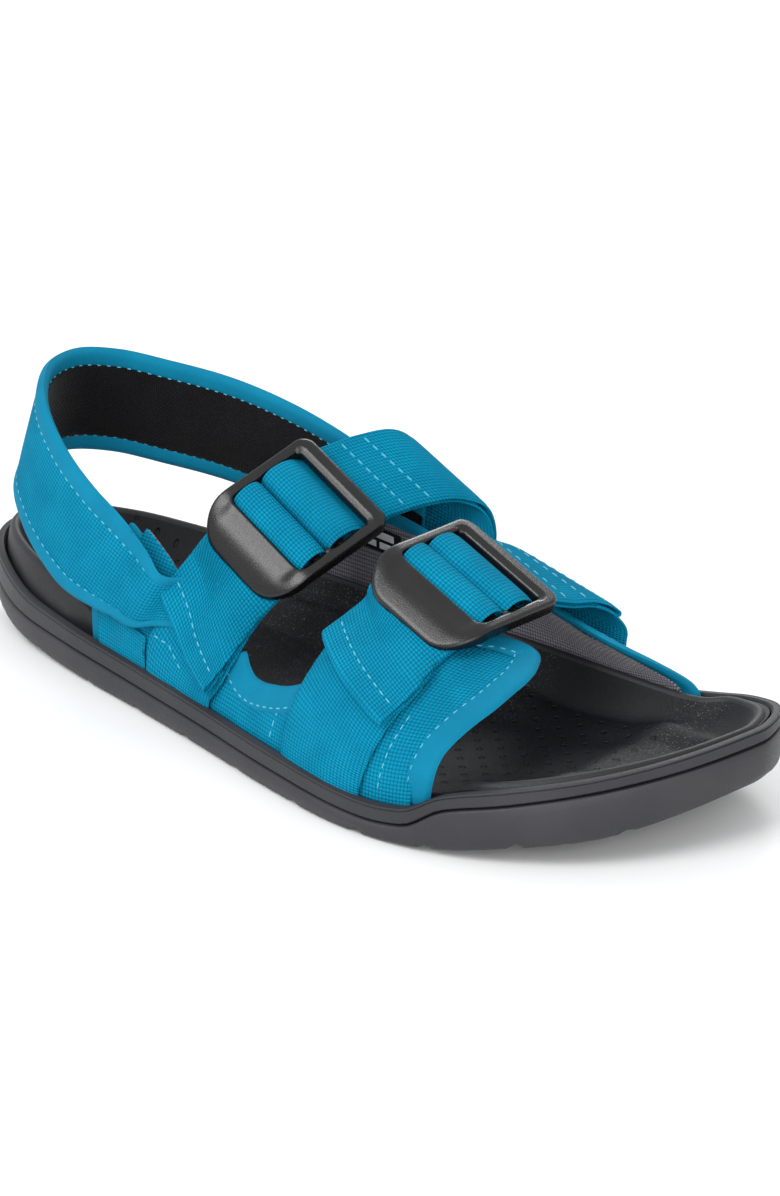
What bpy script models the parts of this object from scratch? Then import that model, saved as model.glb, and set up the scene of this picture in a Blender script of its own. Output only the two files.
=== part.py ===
"""Strappy sport sandal, right foot: sole, sewn upper, two tilt-lock buckles, heel strap.

Frame: +X toe, +Z up, -Y lateral (outer) side, origin on the ground under the middle.
Every dimension below is in millimetres; MM turns the finished points into metres.
"""
import math

import bmesh
import bpy
import numpy as np
from mathutils import Matrix, Vector

MM = 0.001
SHIFT_Y = 6.8            # centres the sole's width on Y = 0
GAP = 0.3                # clearance between pieces that touch

LENGTH = 285.0
WEB_WIDTH = 31.5         # webbing of tabs and straps
WEB_THICK = 1.3
PLY = 1.0                # canvas and lining cloth
BINDING_WIDTH = 6.0
HEEL_WIDTH = 34.0        # heel strap over both bindings

# Plan outline of the sole, heel to toe, on each side.
LATERAL = [(-142.5, 1), (-139, -9), (-130, -18), (-113, -27), (-84, -34), (-50, -40), (-14, -47),
           (23, -55), (51, -59), (75, -57), (100, -48), (120, -33), (134, -13), (141, 8), (142.5, 17)]
MEDIAL = [(-142.5, 1), (-139, 11), (-130, 21), (-113, 30), (-84, 35), (-50, 35), (-14, 35.5),
          (23, 39), (50, 42.5), (74, 44), (100, 45), (120, 44.5), (134, 37), (140, 27), (142.5, 17)]
RING_POINTS = 38         # steps from heel to toe on one side

# Heights along the sole: (x, z) stations.
BOTTOM = [(-142, 9), (-125, 4.6), (-103, 1.9), (-80, 0.4), (-62, 0), (62, 0), (74, 0.5),
          (86, 1.7), (102, 4.6), (122, 8.2), (142, 16)]
GROOVE = [(-142, 18.8), (-125, 13), (-102, 10.2), (-74, 8.9), (-40, 7.8), (0, 7), (40, 6.2),
          (62, 5.4), (74, 6.6), (86, 13.6), (102, 17.5), (122, 22.4), (142, 27.5)]
BAND_LATERAL = [(-142, 26.7), (-125, 22.9), (-102, 17.8), (-74, 15.4), (-40, 14.1), (0, 13),
                (40, 11.8), (62, 10.8), (74, 12), (86, 18.3), (102, 22.4), (122, 26.8), (142, 32.2)]
BAND_MEDIAL = [(-142, 26.7), (-110, 24), (-60, 23), (0, 21.5), (50, 19), (74, 18.5), (102, 22.4),
               (122, 26.8), (142, 32.2)]
RIM_LATERAL = [(-142, 31.5), (-112, 29.5), (-88, 25), (-70, 17), (0, 15.5), (62, 13.5), (78, 14.5),
               (92, 21), (104, 23.5), (122, 27.4), (142, 32)]
RIM_MEDIAL = [(-142, 31.5), (-90, 30), (-40, 30), (0, 29), (60, 25.5), (100, 24), (122, 27.4),
              (142, 32)]
BED = [(-142, 19), (-110, 16.5), (-60, 16), (0, 15), (50, 11.5), (90, 12.5), (120, 17), (142, 24)]
MID_FLOOR = [(-142, 15), (-110, 11), (-60, 10.5), (0, 9.5), (50, 7.5), (90, 9), (120, 13.5),
             (142, 21)]

# The foot-shaped form that the upper is built over, as cross-section stations along X.
FORM_X = [-80, -50, -20, 0, 25, 50, 70, 90, 110]
FORM_CREST_Z = [80, 73, 66, 62.5, 58.5, 49.5, 42.5, 39, 36.5]
FORM_CREST_Y = [5, 18, 27, 27, 21, 12, 8, 5, 4]
FORM_FULL_LATERAL = [3.0, 2.2, 1.4, 1.4, 1.8, 2.3, 2.4, 2.4, 2.4]
FORM_FULL_MEDIAL = [3.0, 2.6, 2.4, 2.4, 2.3, 2.2, 2.1, 2.0, 2.0]
RIM_INSET = 5.8          # the upper goes into the sole this far inside its edge
TUCK = 3.0               # depth of upper hidden in the sole

# Layers of the upper, as distance of each layer's middle from the foot form.
LINING_LIFT = 0.5
CANVAS_LIFT = 1.8
BINDING_LIFT = 1.15
TAB_LIFT = 3.4
TAB_TOP_LIFT = 5.1
LINING_THICK = 0.8
BINDING_THICK = 2.4

# Buckle frames in world space: fixed-bar centre, bar direction, direction across to medial.
BUCKLE = {
    "rear": dict(bar=(-15.6, -6.9, 57.7), along=(0.89, -0.05, -0.45), across=(0.26, 0.89, 0.40)),
    "front": dict(bar=(52.4, -9.2, 57.3), along=(0.92, -0.03, -0.39), across=(0.05, 1.0, 0.0)),
}
BUCKLE_WIDTH = 38.6
BUCKLE_FAR = 24.5        # far edge of the frame, from the fixed bar
BUCKLE_LIP = -16.5       # tip of the lever lip, from the fixed bar
WINDOW = (-6.5, 19.5)    # slot between lip and far bar
WINDOW_WIDTH = 33.0
BAR_RADIUS = 1.7
SLIDE_BAR_Y = 9.0        # adjusting bar, from the fixed bar
STRAP_SPLIT_Y = 27.0     # where the strap leaves the moving buckle

HEEL_PIVOT = (-45.0, 48.0)      # x, z of the transverse fold axis of the heel strap

BLUE = (0.005, 0.27, 0.42, 1)
BLACK = (0.012, 0.012, 0.013, 1)
CHARCOAL = (0.055, 0.055, 0.06, 1)
GREY = (0.16, 0.15, 0.17, 1)


# ---------------------------------------------------------------- small tools

def smooth(stations):
    """Monotone cubic through (x, value) stations."""
    xs, ys = (np.array(c, float) for c in zip(*stations))
    step = np.diff(xs)
    slope = np.diff(ys) / step
    tangent = np.zeros(len(xs))
    for i in range(1, len(xs) - 1):
        if slope[i - 1] * slope[i] > 0:
            w1, w2 = 2 * step[i] + step[i - 1], step[i] + 2 * step[i - 1]
            tangent[i] = (w1 + w2) / (w1 / slope[i - 1] + w2 / slope[i])
    tangent[0], tangent[-1] = slope[0], slope[-1]

    def value(x):
        x = min(max(x, xs[0]), xs[-1])
        i = min(int(np.searchsorted(xs, x, side="right")) - 1, len(step) - 1)
        i = max(i, 0)
        t = (x - xs[i]) / step[i]
        return float(ys[i] * (1 + 2 * t) * (1 - t) ** 2 + ys[i + 1] * t * t * (3 - 2 * t)
                     + step[i] * t * (1 - t) * (tangent[i] * (1 - t) - tangent[i + 1] * t))
    return value


def curve(points):
    """Dense smooth curve through points, and the distance travelled at each of its points."""
    p = np.array(points, float)
    chord = np.linalg.norm(np.diff(p[:, :3], axis=0), axis=1)
    slope = np.diff(p, axis=0) / chord[:, None]
    share = (chord[1:] / (chord[1:] + chord[:-1]))[:, None]
    tangent = np.vstack([slope[0], slope[:-1] * share + slope[1:] * (1 - share), slope[-1]])
    dense = []
    for i, length in enumerate(chord):
        for t in np.linspace(0, 1, 12, endpoint=False):
            dense.append(p[i] * (1 + 2 * t) * (1 - t) ** 2 + p[i + 1] * t * t * (3 - 2 * t)
                         + length * t * (1 - t) * (tangent[i] * (1 - t) - tangent[i + 1] * t))
    dense = np.array(dense + [p[-1]])
    steps = np.linalg.norm(np.diff(dense, axis=0), axis=1)
    return dense, np.concatenate([[0], np.cumsum(steps)])


def pick(at, known, table):
    return np.stack([np.interp(at, known, column) for column in table.T], 1)


def spline(points, count):
    """Smooth curve through points, resampled to count evenly spaced points."""
    dense, travelled = curve(points)
    return pick(np.linspace(0, travelled[-1], count), travelled, dense)


def ease(x, low, high):
    t = min(max((x - low) / (high - low), 0.0), 1.0)
    return t * t * (3 - 2 * t)


def unit(v):
    v = np.array(v, float)
    return v / np.linalg.norm(v)


def material(name, colour, roughness):
    mat = bpy.data.materials.new(name)
    mat.use_nodes = True
    shader = mat.node_tree.nodes["Principled BSDF"]
    shader.inputs["Base Color"].default_value = colour
    shader.inputs["Roughness"].default_value = roughness
    return mat


def new_object(name, verts, faces, colour, roughness=0.8, pivot=(0, 0, 0)):
    """An object from points in millimetres, its origin at pivot."""
    pivot = np.array(pivot, float) * MM
    mesh = bpy.data.meshes.new(name)
    shifted = [tuple(np.array(v, float) * MM + (0, SHIFT_Y * MM, 0) - pivot) for v in verts]
    mesh.from_pydata(shifted, [], faces)
    bm = bmesh.new()
    bm.from_mesh(mesh)
    bmesh.ops.recalc_face_normals(bm, faces=bm.faces)
    bm.to_mesh(mesh)
    bm.free()
    mesh.shade_smooth()
    mesh.set_sharp_from_angle(angle=math.radians(40))
    mesh.materials.append(material(name, colour, roughness))
    obj = bpy.data.objects.new(name, mesh)
    obj.location = pivot
    parts.objects.link(obj)
    return obj


def grid_faces(rows, cols):
    return [(r * cols + c, r * cols + c + 1, (r + 1) * cols + c + 1, (r + 1) * cols + c)
            for r in range(rows - 1) for c in range(cols - 1)]


def sheet(name, grid, thickness, colour, roughness=0.85, pivot=(0, 0, 0)):
    """Cloth on an open grid of points, thickened equally to both sides."""
    grid = np.array(grid)
    rows, cols = grid.shape[:2]
    obj = new_object(name, grid.reshape(-1, 3), grid_faces(rows, cols), colour, roughness, pivot)
    solid = obj.modifiers.new("thickness", "SOLIDIFY")
    solid.thickness = thickness * MM
    solid.offset = 0
    solid.use_even_offset = True
    return obj


def ribbon_grid(centre, wide, width, count=20, cols=3, shift=0.0, lift=0.0, round_start=0.0):
    """Rows of points of a strip along centre points; wide gives its width direction at each."""
    both = spline([tuple(c) + tuple(unit(w)) for c, w in zip(centre, wide)], count)
    path = both[:, :3]
    tangent = np.gradient(path, axis=0)
    travelled = np.concatenate([[0], np.cumsum(np.linalg.norm(np.diff(path, axis=0), axis=1))])
    grid = []
    for row, ahead, gone in zip(both, tangent, travelled):
        side = unit(row[3:])
        normal = unit(np.cross(ahead, side))
        scale = 1.0
        if gone < round_start:
            scale = math.sqrt(max(1 - (1 - gone / round_start) ** 2, 0.06))
        grid.append([row[:3] + side * (shift + width * a) * scale + normal * lift
                     for a in np.linspace(-0.5, 0.5, cols)])
    return grid


def offset_grid(grid, lift):
    """The same rows moved along the sheet's own normal."""
    grid = np.array(grid)
    normal = np.cross(np.gradient(grid, axis=0), np.gradient(grid, axis=1))
    return grid + normal / np.linalg.norm(normal, axis=2)[:, :, None] * lift


# ---------------------------------------------------------------- sole

def sole_ring():
    """Outline points and their spine points, lateral heel to toe then medial back."""
    lat = spline(LATERAL, RING_POINTS + 1)
    med = spline(MEDIAL, RING_POINTS + 1)
    spine = (lat + med) / 2
    spine[:, 0] *= 0.86
    order = [(i, 0) for i in range(RING_POINTS + 1)] + [(i, 1) for i in range(RING_POINTS - 1, 0, -1)]
    edge = np.array([(lat, med)[side][i] for i, side in order])
    centre = np.array([spine[i] for i, _ in order])
    reach = [min(1.0, 30 * min(i, RING_POINTS - i) / RING_POINTS / 5) for i, _ in order]
    side = np.array([0.5 + (s - 0.5) * r for (_, s), r in zip(order, reach)])
    ahead, behind = np.roll(edge, -1, 0), np.roll(edge, 1, 0)
    tangent = ahead - behind
    normal = np.stack([-tangent[:, 1], tangent[:, 0]], 1)
    normal /= np.linalg.norm(normal, axis=1)[:, None]
    inward = np.sign(((centre - edge) * normal).sum(1))[:, None]
    return edge, centre, side, normal * inward


def ring_points(inset, share, height):
    """One ring: inset from the edge, then share of the way to the spine, at height(x, side)."""
    edge, centre, side, inward = sole_ring()
    depth = np.array([inset(x, s) if callable(inset) else inset for (x, _), s in zip(edge, side)])
    flat = edge + inward * depth[:, None]
    flat = flat + (centre - flat) * share
    towards = side + (0.5 - side) * share
    return [(x, y, height(x, s)) for (x, y), s in zip(flat, towards)]


def ring_solid(name, rings, colour, roughness):
    """Closed solid of rings, whose first and last ring collapse onto the spine."""
    count = 2 * RING_POINTS
    verts, faces = [], []
    for ring in rings:
        verts.extend(ring)
    for r in range(len(rings) - 1):
        for c in range(count):
            d = (c + 1) % count
            faces.append((r * count + c, r * count + d, (r + 1) * count + d, (r + 1) * count + c))
    obj = new_object(name, verts, faces, colour, roughness)
    bm = bmesh.new()
    bm.from_mesh(obj.data)
    bmesh.ops.remove_doubles(bm, verts=bm.verts, dist=0.00002)
    bmesh.ops.recalc_face_normals(bm, faces=bm.faces)
    bm.to_mesh(obj.data)
    bm.free()
    return obj


def level(stations, lift=0.0):
    value = smooth(stations)
    return lambda x, side: value(x) + lift


def two_sided(lateral, medial, lift=0.0):
    low, high = smooth(lateral), smooth(medial)
    return lambda x, side: low(x) * (1 - ease(side, 0, 1)) + high(x) * ease(side, 0, 1) + lift


def upper_span(x, side):
    """1 where the upper goes into the sole, 0 at heel and toe."""
    start = -74 if side < 0.5 else -66
    stop = 88 if side < 0.5 else 106
    return ease(x, start - 14, start - 4) * (1 - ease(x, stop + 2, stop + 10))


WALL = 3.2               # outsole wall thickness
TREAD = 3.6              # outsole floor thickness


def outsole():
    bottom = level(BOTTOM)
    rings = [ring_points(0, 1, bottom), ring_points(9, 0.5, bottom), ring_points(9, 0, bottom),
             ring_points(3.0, 0, bottom), ring_points(0.8, 0, level(BOTTOM, 0.8)),
             ring_points(0, 0, level(BOTTOM, 2.6)), ring_points(0, 0, level(GROOVE, -0.8)),
             ring_points(0.7, 0, level(GROOVE)), ring_points(WALL, 0, level(GROOVE)),
             ring_points(WALL + 0.4, 0, level(BOTTOM, TREAD)),
             ring_points(9, 0.5, level(BOTTOM, TREAD)), ring_points(0, 1, level(BOTTOM, TREAD))]
    return ring_solid("outsole", rings, CHARCOAL, 0.75)


def midsole():
    under = level(BOTTOM, TREAD + GAP)
    band = two_sided(BAND_LATERAL, BAND_MEDIAL)
    low_band = two_sided(BAND_LATERAL, BAND_MEDIAL, -1.2)
    floor = level(MID_FLOOR)
    rings = [ring_points(0, 1, under), ring_points(9, 0.5, under), ring_points(WALL + 0.9, 0, under),
             ring_points(WALL + 0.5, 0, level(GROOVE, GAP)), ring_points(0.9, 0, level(GROOVE, GAP)),
             ring_points(0.3, 0, level(GROOVE, 1.1)), ring_points(0.5, 0, low_band),
             ring_points(1.1, 0, band), ring_points(2.6, 0, band), ring_points(3.2, 0, floor),
             ring_points(9, 0.5, floor), ring_points(0, 1, floor)]
    return ring_solid("midsole", rings, CHARCOAL, 0.8)


def bed_inset(x, side):
    return 3.6 + 3.0 * upper_span(x, side)


def footbed():
    under = level(MID_FLOOR, GAP)
    rim = two_sided(RIM_LATERAL, RIM_MEDIAL)
    bed = level(BED)
    arch = two_sided([(-142, 19), (-60, 17), (0, 16), (60, 12.5), (142, 25)],
                     [(-142, 19), (-70, 20), (-20, 23), (30, 19), (70, 13), (142, 25)])
    band = two_sided(BAND_LATERAL, BAND_MEDIAL, -0.6)
    rings = [ring_points(0, 1, under), ring_points(9, 0.5, under), ring_points(bed_inset, 0, under),
             ring_points(bed_inset, 0, band),
             ring_points(lambda x, s: bed_inset(x, s) + 1.6, 0, lambda x, s: rim(x, s) - 0.7),
             ring_points(lambda x, s: bed_inset(x, s) + 2.6, 0, rim),
             ring_points(lambda x, s: bed_inset(x, s) + 4.2, 0, lambda x, s: rim(x, s) - 1.0),
             ring_points(13.5, 0, lambda x, s: arch(x, s) + 1.5), ring_points(19, 0, arch),
             ring_points(19, 0.5, bed), ring_points(0, 1, bed)]
    return ring_solid("footbed", rings, BLACK, 0.7)


# ---------------------------------------------------------------- foot form

form_z, form_y = smooth(list(zip(FORM_X, FORM_CREST_Z))), smooth(list(zip(FORM_X, FORM_CREST_Y)))
full_lat = smooth(list(zip(FORM_X, FORM_FULL_LATERAL)))
full_med = smooth(list(zip(FORM_X, FORM_FULL_MEDIAL)))
edge_lat, edge_med = smooth(LATERAL), smooth(MEDIAL)
rim_lat, rim_med = smooth(BAND_LATERAL), smooth(BAND_MEDIAL)


def form_point(x, t):
    """Point of the foot form: t runs 0 lateral rim, 0.5 crest, 1 medial rim."""
    lateral = t < 0.5
    angle = (t if lateral else 1 - t) * math.pi
    power = 2 / (full_lat(x) if lateral else full_med(x))
    out, up = max(math.cos(angle), 0) ** power, max(math.sin(angle), 0) ** power
    edge = edge_lat(x) + RIM_INSET if lateral else edge_med(x) - RIM_INSET
    base = rim_lat(x) if lateral else rim_med(x)
    crest = form_y(x)
    return np.array([x, crest + (edge - crest) * out, base + (form_z(x) - base) * up])


def on_form(x, t, lift):
    """Point lifted off the form; t below 0 or above 1 goes straight down into the sole."""
    inside = min(max(t, 0.02), 0.98)
    step = 0.01
    along = form_point(x + 1, inside) - form_point(x - 1, inside)
    around = form_point(x, inside + step) - form_point(x, inside - step)
    normal = unit(np.cross(along, around))
    point = form_point(x, min(max(t, 0.0), 1.0))
    if t < 0 or t > 1:
        normal = unit((0, -1, 0) if t < 0 else (0, 1, 0))
        point[2] -= (-t if t < 0 else t - 1) * 100
    elif t < 0.02 or t > 0.98:
        near = (0.02 - min(t, 1 - t)) / 0.02
        side = np.array((0, -1, 0) if t < 0.5 else (0, 1, 0), float)
        normal = unit(normal * (1 - near) + side * near)
    return point + normal * lift


def patch_grid(rear, front, low, top, lift, medial=False, cols=26, rows=6, start=0.0):
    """Panel on the form. rear, front: edge x at height share t. low, top: (u, t) of its edges."""
    rear_x, front_x, low_t, top_t = smooth(rear), smooth(front), smooth(low), smooth(top)
    grid = []
    for r in range(rows + 1):
        row = []
        for c in range(cols + 1):
            u = start + (1 - start) * c / cols
            t = low_t(u) + (top_t(u) - low_t(u)) * r / rows
            level_t = max(t, 0.0)
            x = rear_x(level_t) + (front_x(level_t) - rear_x(level_t)) * u
            row.append(on_form(x, 1 - t if medial else t, lift))
        grid.append(row)
    return grid


def widened(stations, offset):
    return [(a, b + offset) for a, b in stations]


INTO_SOLE = [(0, -TUCK / 100), (1, -TUCK / 100)]
ON_SOLE = [(0, 0.012), (1, 0.012)]

# Lateral panel: edges at height share t, and its upper edge with the U notch.
LAT_REAR = [(0, -66), (0.07, -65), (0.2, -53), (0.5, -50)]
LAT_FRONT = [(0, 74), (0.1, 75), (0.2, 78), (0.3, 80), (0.4, 79), (0.5, 74)]
LAT_TOP = [(0, 0.2), (0.1, 0.18), (0.25, 0.13), (0.36, 0.115), (0.43, 0.085), (0.5, 0.07), (0.6, 0.08),
           (0.66, 0.12), (0.71, 0.22), (0.8, 0.33), (0.9, 0.4), (1, 0.43)]
MED_REAR = [(0, -58), (0.1, -56), (0.25, -46), (0.5, -44)]
MED_FRONT = [(0, 98), (0.05, 96), (0.15, 87), (0.22, 79), (0.27, 70), (0.5, 66)]
MED_TOP = [(0, 0.16), (0.2, 0.22), (0.4, 0.22), (0.5, 0.2), (0.6, 0.22), (0.8, 0.22), (1, 0.22)]


def side_cloth(side, rear, front, top, medial):
    """Canvas, lining and edge bindings of one side of the upper."""
    sheet(side + "_panel", patch_grid(rear, front, INTO_SOLE, top, CANVAS_LIFT, medial), PLY, BLUE)
    sheet(side + "_lining", patch_grid(rear, front, INTO_SOLE, top, LINING_LIFT, medial),
          LINING_THICK, GREY)
    last = top[-1][1]
    first = top[0][1]
    sheet(side + "_binding_front",
          patch_grid(widened(front, GAP), widened(front, BINDING_WIDTH), INTO_SOLE,
                     [(0, last + 0.03), (1, last)], BINDING_LIFT, medial, 2, 14),
          BINDING_THICK, BLUE)
    sheet(side + "_binding_rear",
          patch_grid(widened(rear, -BINDING_WIDTH), widened(rear, -GAP), INTO_SOLE,
                     [(0, first - 0.03), (1, first)], BINDING_LIFT, medial, 2, 6),
          BINDING_THICK, BLUE)
    sheet(side + "_binding_top",
          patch_grid(rear, front, widened(top, 0.012), widened(top, 0.052), BINDING_LIFT, medial,
                     36, 2, 0.05 if medial else 0.42), BINDING_THICK, BLUE)


def woven_label():
    sheet("woven_label", patch_grid([(0, -24), (1, -24)], [(0, -2), (1, -2)], [(0, 0.13), (1, 0.13)],
                                    [(0, 0.19), (1, 0.19)], -0.5, True, 6, 3), 0.4, BLACK)


# ---------------------------------------------------------------- buckles and webbing

def buckle_axes(which):
    frame = BUCKLE[which]
    along = unit(frame["along"])
    across = np.array(frame["across"], float)
    across = unit(across - along * across.dot(along))
    return np.array(frame["bar"], float), along, across, np.cross(along, across)


def in_buckle(which, x, y, z):
    """World point from buckle coordinates: along the bars, across to medial, up."""
    bar, along, across, up = buckle_axes(which)
    return bar + along * x + across * y + up * z


def lip_drop(y):
    """Height of the frame's middle: flat, then the lever lip curves down."""
    return -0.028 * max(-4.0 - y, 0.0) ** 2


def buckle_cutter(name, build):
    obj = build
    obj.name = name
    obj.hide_render = True
    obj.display_type = "WIRE"
    for collection in list(obj.users_collection):
        collection.objects.unlink(obj)
    cutters.objects.link(obj)
    return obj


def buckle(which):
    """Moulded frame with the fixed bar, the adjusting bar and a lever lip, hinged on the bar."""
    half = BUCKLE_WIDTH / 2
    stations = [(24.5, half - 2.2, 1.7), (23.2, half - 0.5, 2.1), (19.5, half, 2.1), (8, half, 2.0),
                (-2, half, 2.0), (-6.5, half, 1.8), (-10, half - 0.3, 1.5), (-13.5, half - 1.3, 1.2),
                (BUCKLE_LIP + 0.8, half - 3, 1.0), (BUCKLE_LIP, half - 5, 0.7)]
    verts = []
    for y, wide, thick in stations:
        z = lip_drop(y)
        for x, h in ((-wide, -0.6), (-wide, 0.6), (-wide + 1, 1), (wide - 1, 1), (wide, 0.6),
                     (wide, -0.6), (wide - 1, -1), (-wide + 1, -1)):
            verts.append(in_buckle(which, x, y, z + h * thick))
    n = 8
    faces = [(r * n + c, r * n + (c + 1) % n, (r + 1) * n + (c + 1) % n, (r + 1) * n + c)
             for r in range(len(stations) - 1) for c in range(n)]
    faces += [tuple(range(n)), tuple(range(len(verts) - n, len(verts)))]
    bar, along, across, up = buckle_axes(which)
    centre = bar + (0, SHIFT_Y, 0)
    obj = new_object(which + "_buckle", verts, faces, BLACK, 0.4, centre)
    turn = Matrix([along, across, up]).transposed().to_4x4()

    middle, length = sum(WINDOW) / 2, WINDOW[1] - WINDOW[0]
    bpy.ops.mesh.primitive_cube_add(size=1)
    window = buckle_cutter(which + "_window", bpy.context.object)
    window.data.transform(Matrix.Diagonal((WINDOW_WIDTH * MM, length * MM, 0.014, 1)))
    window.data.transform(Matrix.Translation((0, middle * MM, 0)))
    window.matrix_world = Matrix.Translation(Vector(centre) * MM) @ turn
    rounded = window.modifiers.new("corners", "BEVEL")
    rounded.width = 0.0018
    rounded.segments = 3
    cut = obj.modifiers.new("window", "BOOLEAN")
    cut.operation = "DIFFERENCE"
    cut.object = window

    for label, y in (("fixed_bar", 0.0), ("slide_bar", SLIDE_BAR_Y)):
        bpy.ops.mesh.primitive_cylinder_add(vertices=16, radius=BAR_RADIUS * MM,
                                            depth=(WINDOW_WIDTH + 2.4) * MM)
        rod = buckle_cutter(which + "_" + label, bpy.context.object)
        rod.data.transform(Matrix.Rotation(math.pi / 2, 4, "Y"))
        rod.data.transform(Matrix.Translation((0, y * MM, 0)))
        rod.matrix_world = Matrix.Translation(Vector(centre) * MM) @ turn
        join = obj.modifiers.new(label, "BOOLEAN")
        join.operation = "UNION"
        join.object = rod
    return obj


def loop_round(y, start, stop, steps):
    """Points of webbing round a bar at y, in buckle coordinates, from angle start to stop."""
    radius = BAR_RADIUS + GAP + WEB_THICK / 2
    radius += 0.1
    return [(y + radius * math.cos(math.radians(a)), radius * math.sin(math.radians(a)))
            for a in np.linspace(start, stop, steps)]


def web_grid(stops, count, cols):
    """Webbing through stops: each gives the point at a distance from the webbing's middle."""
    travelled = curve([stop(0.0) for stop in stops])[1]
    order = np.arange(len(travelled))
    at = np.interp(np.linspace(0, travelled[-1], count), travelled, order)
    edges = np.linspace(-0.5, 0.5, cols) * WEB_WIDTH
    return np.stack([pick(at, order, curve([stop(w) for stop in stops])[0]) for w in edges], 1)


def at_rim(x, lift, height, medial=False):
    """Stop where webbing meets the sole, height above its band."""
    edge, rim, sign = (edge_med, rim_med, 1) if medial else (edge_lat, rim_lat, -1)
    inset = RIM_INSET - lift
    return lambda w: np.array([x + w, edge(x + w) - sign * inset, rim(x + w) + height])


def at_form(x, t, lift, tilt=0.0):
    """Stop on the lateral form; tilt lowers the toe side of the webbing."""
    return lambda w: on_form(x + w, t - tilt * w * min(1.0, t / 0.12), lift)


def at_buckle(which, y, z):
    return lambda w: in_buckle(which, w, y, z)


def at_free(centre, wide):
    return lambda w: np.array(centre, float) + unit(wide) * w


def tab(which, base_x, climb, rise, hem_t, dip, tilt):
    """Sewn webbing tab: up from the sole, round the fixed bar and back down to its hem."""
    lower = [at_rim(base_x, TAB_LIFT, 1.0)]
    lower += [at_form(base_x + climb * t, t, TAB_LIFT, tilt) for t in rise]
    around = [(BUCKLE_LIP, dip - 1.55), (-9.0, -5.8), (-5.0, -4.6)] + loop_round(0, -80, 215, 9)
    around += [(-5.0, -2.8), (-6.8, -3.15), (-9.0, -4.1), (BUCKLE_LIP, dip)]
    upper = [at_form(base_x + climb * t, t, TAB_TOP_LIFT, tilt) for t in rise[::-1]
             if t > hem_t + 0.02]
    upper.append(at_form(base_x + climb * hem_t, hem_t, TAB_TOP_LIFT, tilt))
    stops = lower + [at_buckle(which, y, z) for y, z in around] + upper
    return sheet(which + "_tab", web_grid(stops, 88, 5), WEB_THICK, BLUE)


TURN = ([(STRAP_SPLIT_Y, -3.2), (23, -3.05), (19.5, -2.9), (15.5, -1.2), (12.4, 0.9)]
        + loop_round(SLIDE_BAR_Y, 50, 230, 6) + [(9, -3.3), (14, -4.5), (20, -4.9),
                                                 (STRAP_SPLIT_Y, -5.0)])


def strap_turn(which):
    """The part of the strap threaded over the adjusting bar, which moves with the buckle."""
    bar, along, across, up = buckle_axes(which)
    points = [in_buckle(which, 0, y, z) for y, z in TURN]
    grid = ribbon_grid(points, [along] * len(points), WEB_WIDTH, 40)
    return sheet(which + "_strap_turn", grid, WEB_THICK, BLUE, 0.85, bar + (0, SHIFT_Y, 0))


# Strap over the foot to the medial side, after the buckle: points and width directions.
STRAP_PATH = {
    "rear": [((-3, 27.5, 68.5), (.88, 0, -.47)), ((4, 35, 69.5), (.84, .1, -.53)),
             ((8.5, 40, 65.5), (.85, .1, -.5)), ((9.5, 41.5, 57), (.92, .1, -.35)),
             ((9.5, 40, 46), (1, .05, -.1)), ((9.5, 38, 36), (1, .08, 0))],
    "front": [((53, 26, 50), (.93, 0, -.36)), ((55, 34, 47), (.95, .05, -.3)),
              ((57.5, 40.5, 41.5), (.97, .08, -.25)), ((59, 42.5, 35), (1, .08, -.12)),
              ((59, 42, 30), (1, .08, 0))],
}
STRAP_BASE = {"rear": 9.5, "front": 59.0}
TAIL_LAYER = 1.7         # tail lies this far outside the load layer


def strap(which, tail_rows):
    """Load layer from the sole to the buckle, and the loose tail that lies on it."""
    stops = [at_buckle(which, STRAP_SPLIT_Y + 1.2, -5.0)]
    stops += [at_free(centre, wide) for centre, wide in STRAP_PATH[which]]
    stops.append(at_rim(STRAP_BASE[which], TAB_LIFT + 1.2, 1.2, True))
    load = web_grid(stops, 28, 3)
    sheet(which + "_strap", load, WEB_THICK, BLUE)
    sheet(which + "_strap_tail", offset_grid(load, -TAIL_LAYER)[:tail_rows], WEB_THICK, BLUE)


# ---------------------------------------------------------------- heel strap

HEEL_PATH = [(-43, -38.8, 33), (-50, -38.8, 37.5), (-58, -38.6, 42), (-74, -37, 49.5),
             (-92, -32, 59), (-107, -22.5, 67.5), (-115, -9, 71.5), (-116.5, 5, 71.5), (-111, 18, 69),
             (-98, 28, 65.5), (-78, 34.5, 63), (-55, 36.5, 60), (-30, 36.5, 55)]
HEEL_WIDE = [(.5, .15, .85), (.5, .15, .85), (.5, .15, .85), (.5, .1, .85), (.45, .05, .89),
             (.36, .02, .93), (.22, 0, .97), (.15, 0, .98), (.12, 0, .99), (.1, 0, 1),
             (.1, -.02, 1), (.15, -.05, 1), (.2, -.1, 1)]
HEEL_BINDING = 5.6


def heel_strap():
    """Canvas outside, padded lining inside and a binding along each edge, folding as one."""
    pivot = (HEEL_PIVOT[0], SHIFT_Y, HEEL_PIVOT[1])
    inner = HEEL_WIDTH - 2 * HEEL_BINDING - 2 * GAP
    edge = (HEEL_WIDTH - HEEL_BINDING) / 2

    def band(name, width, thick, colour, shift=0.0, lift=0.0):
        grid = ribbon_grid(HEEL_PATH, HEEL_WIDE, width, 44, 3, shift, lift, 14.0)
        return sheet(name, grid, thick, colour, 0.9, pivot)

    band("heel_strap", inner, 1.2, BLUE, lift=-1.0)
    band("heel_strap_lining", inner, 2.4, BLACK, lift=1.1)
    band("heel_binding_upper", HEEL_BINDING, 3.6, BLUE, edge)
    band("heel_binding_lower", HEEL_BINDING, 3.6, BLUE, -edge)


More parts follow.
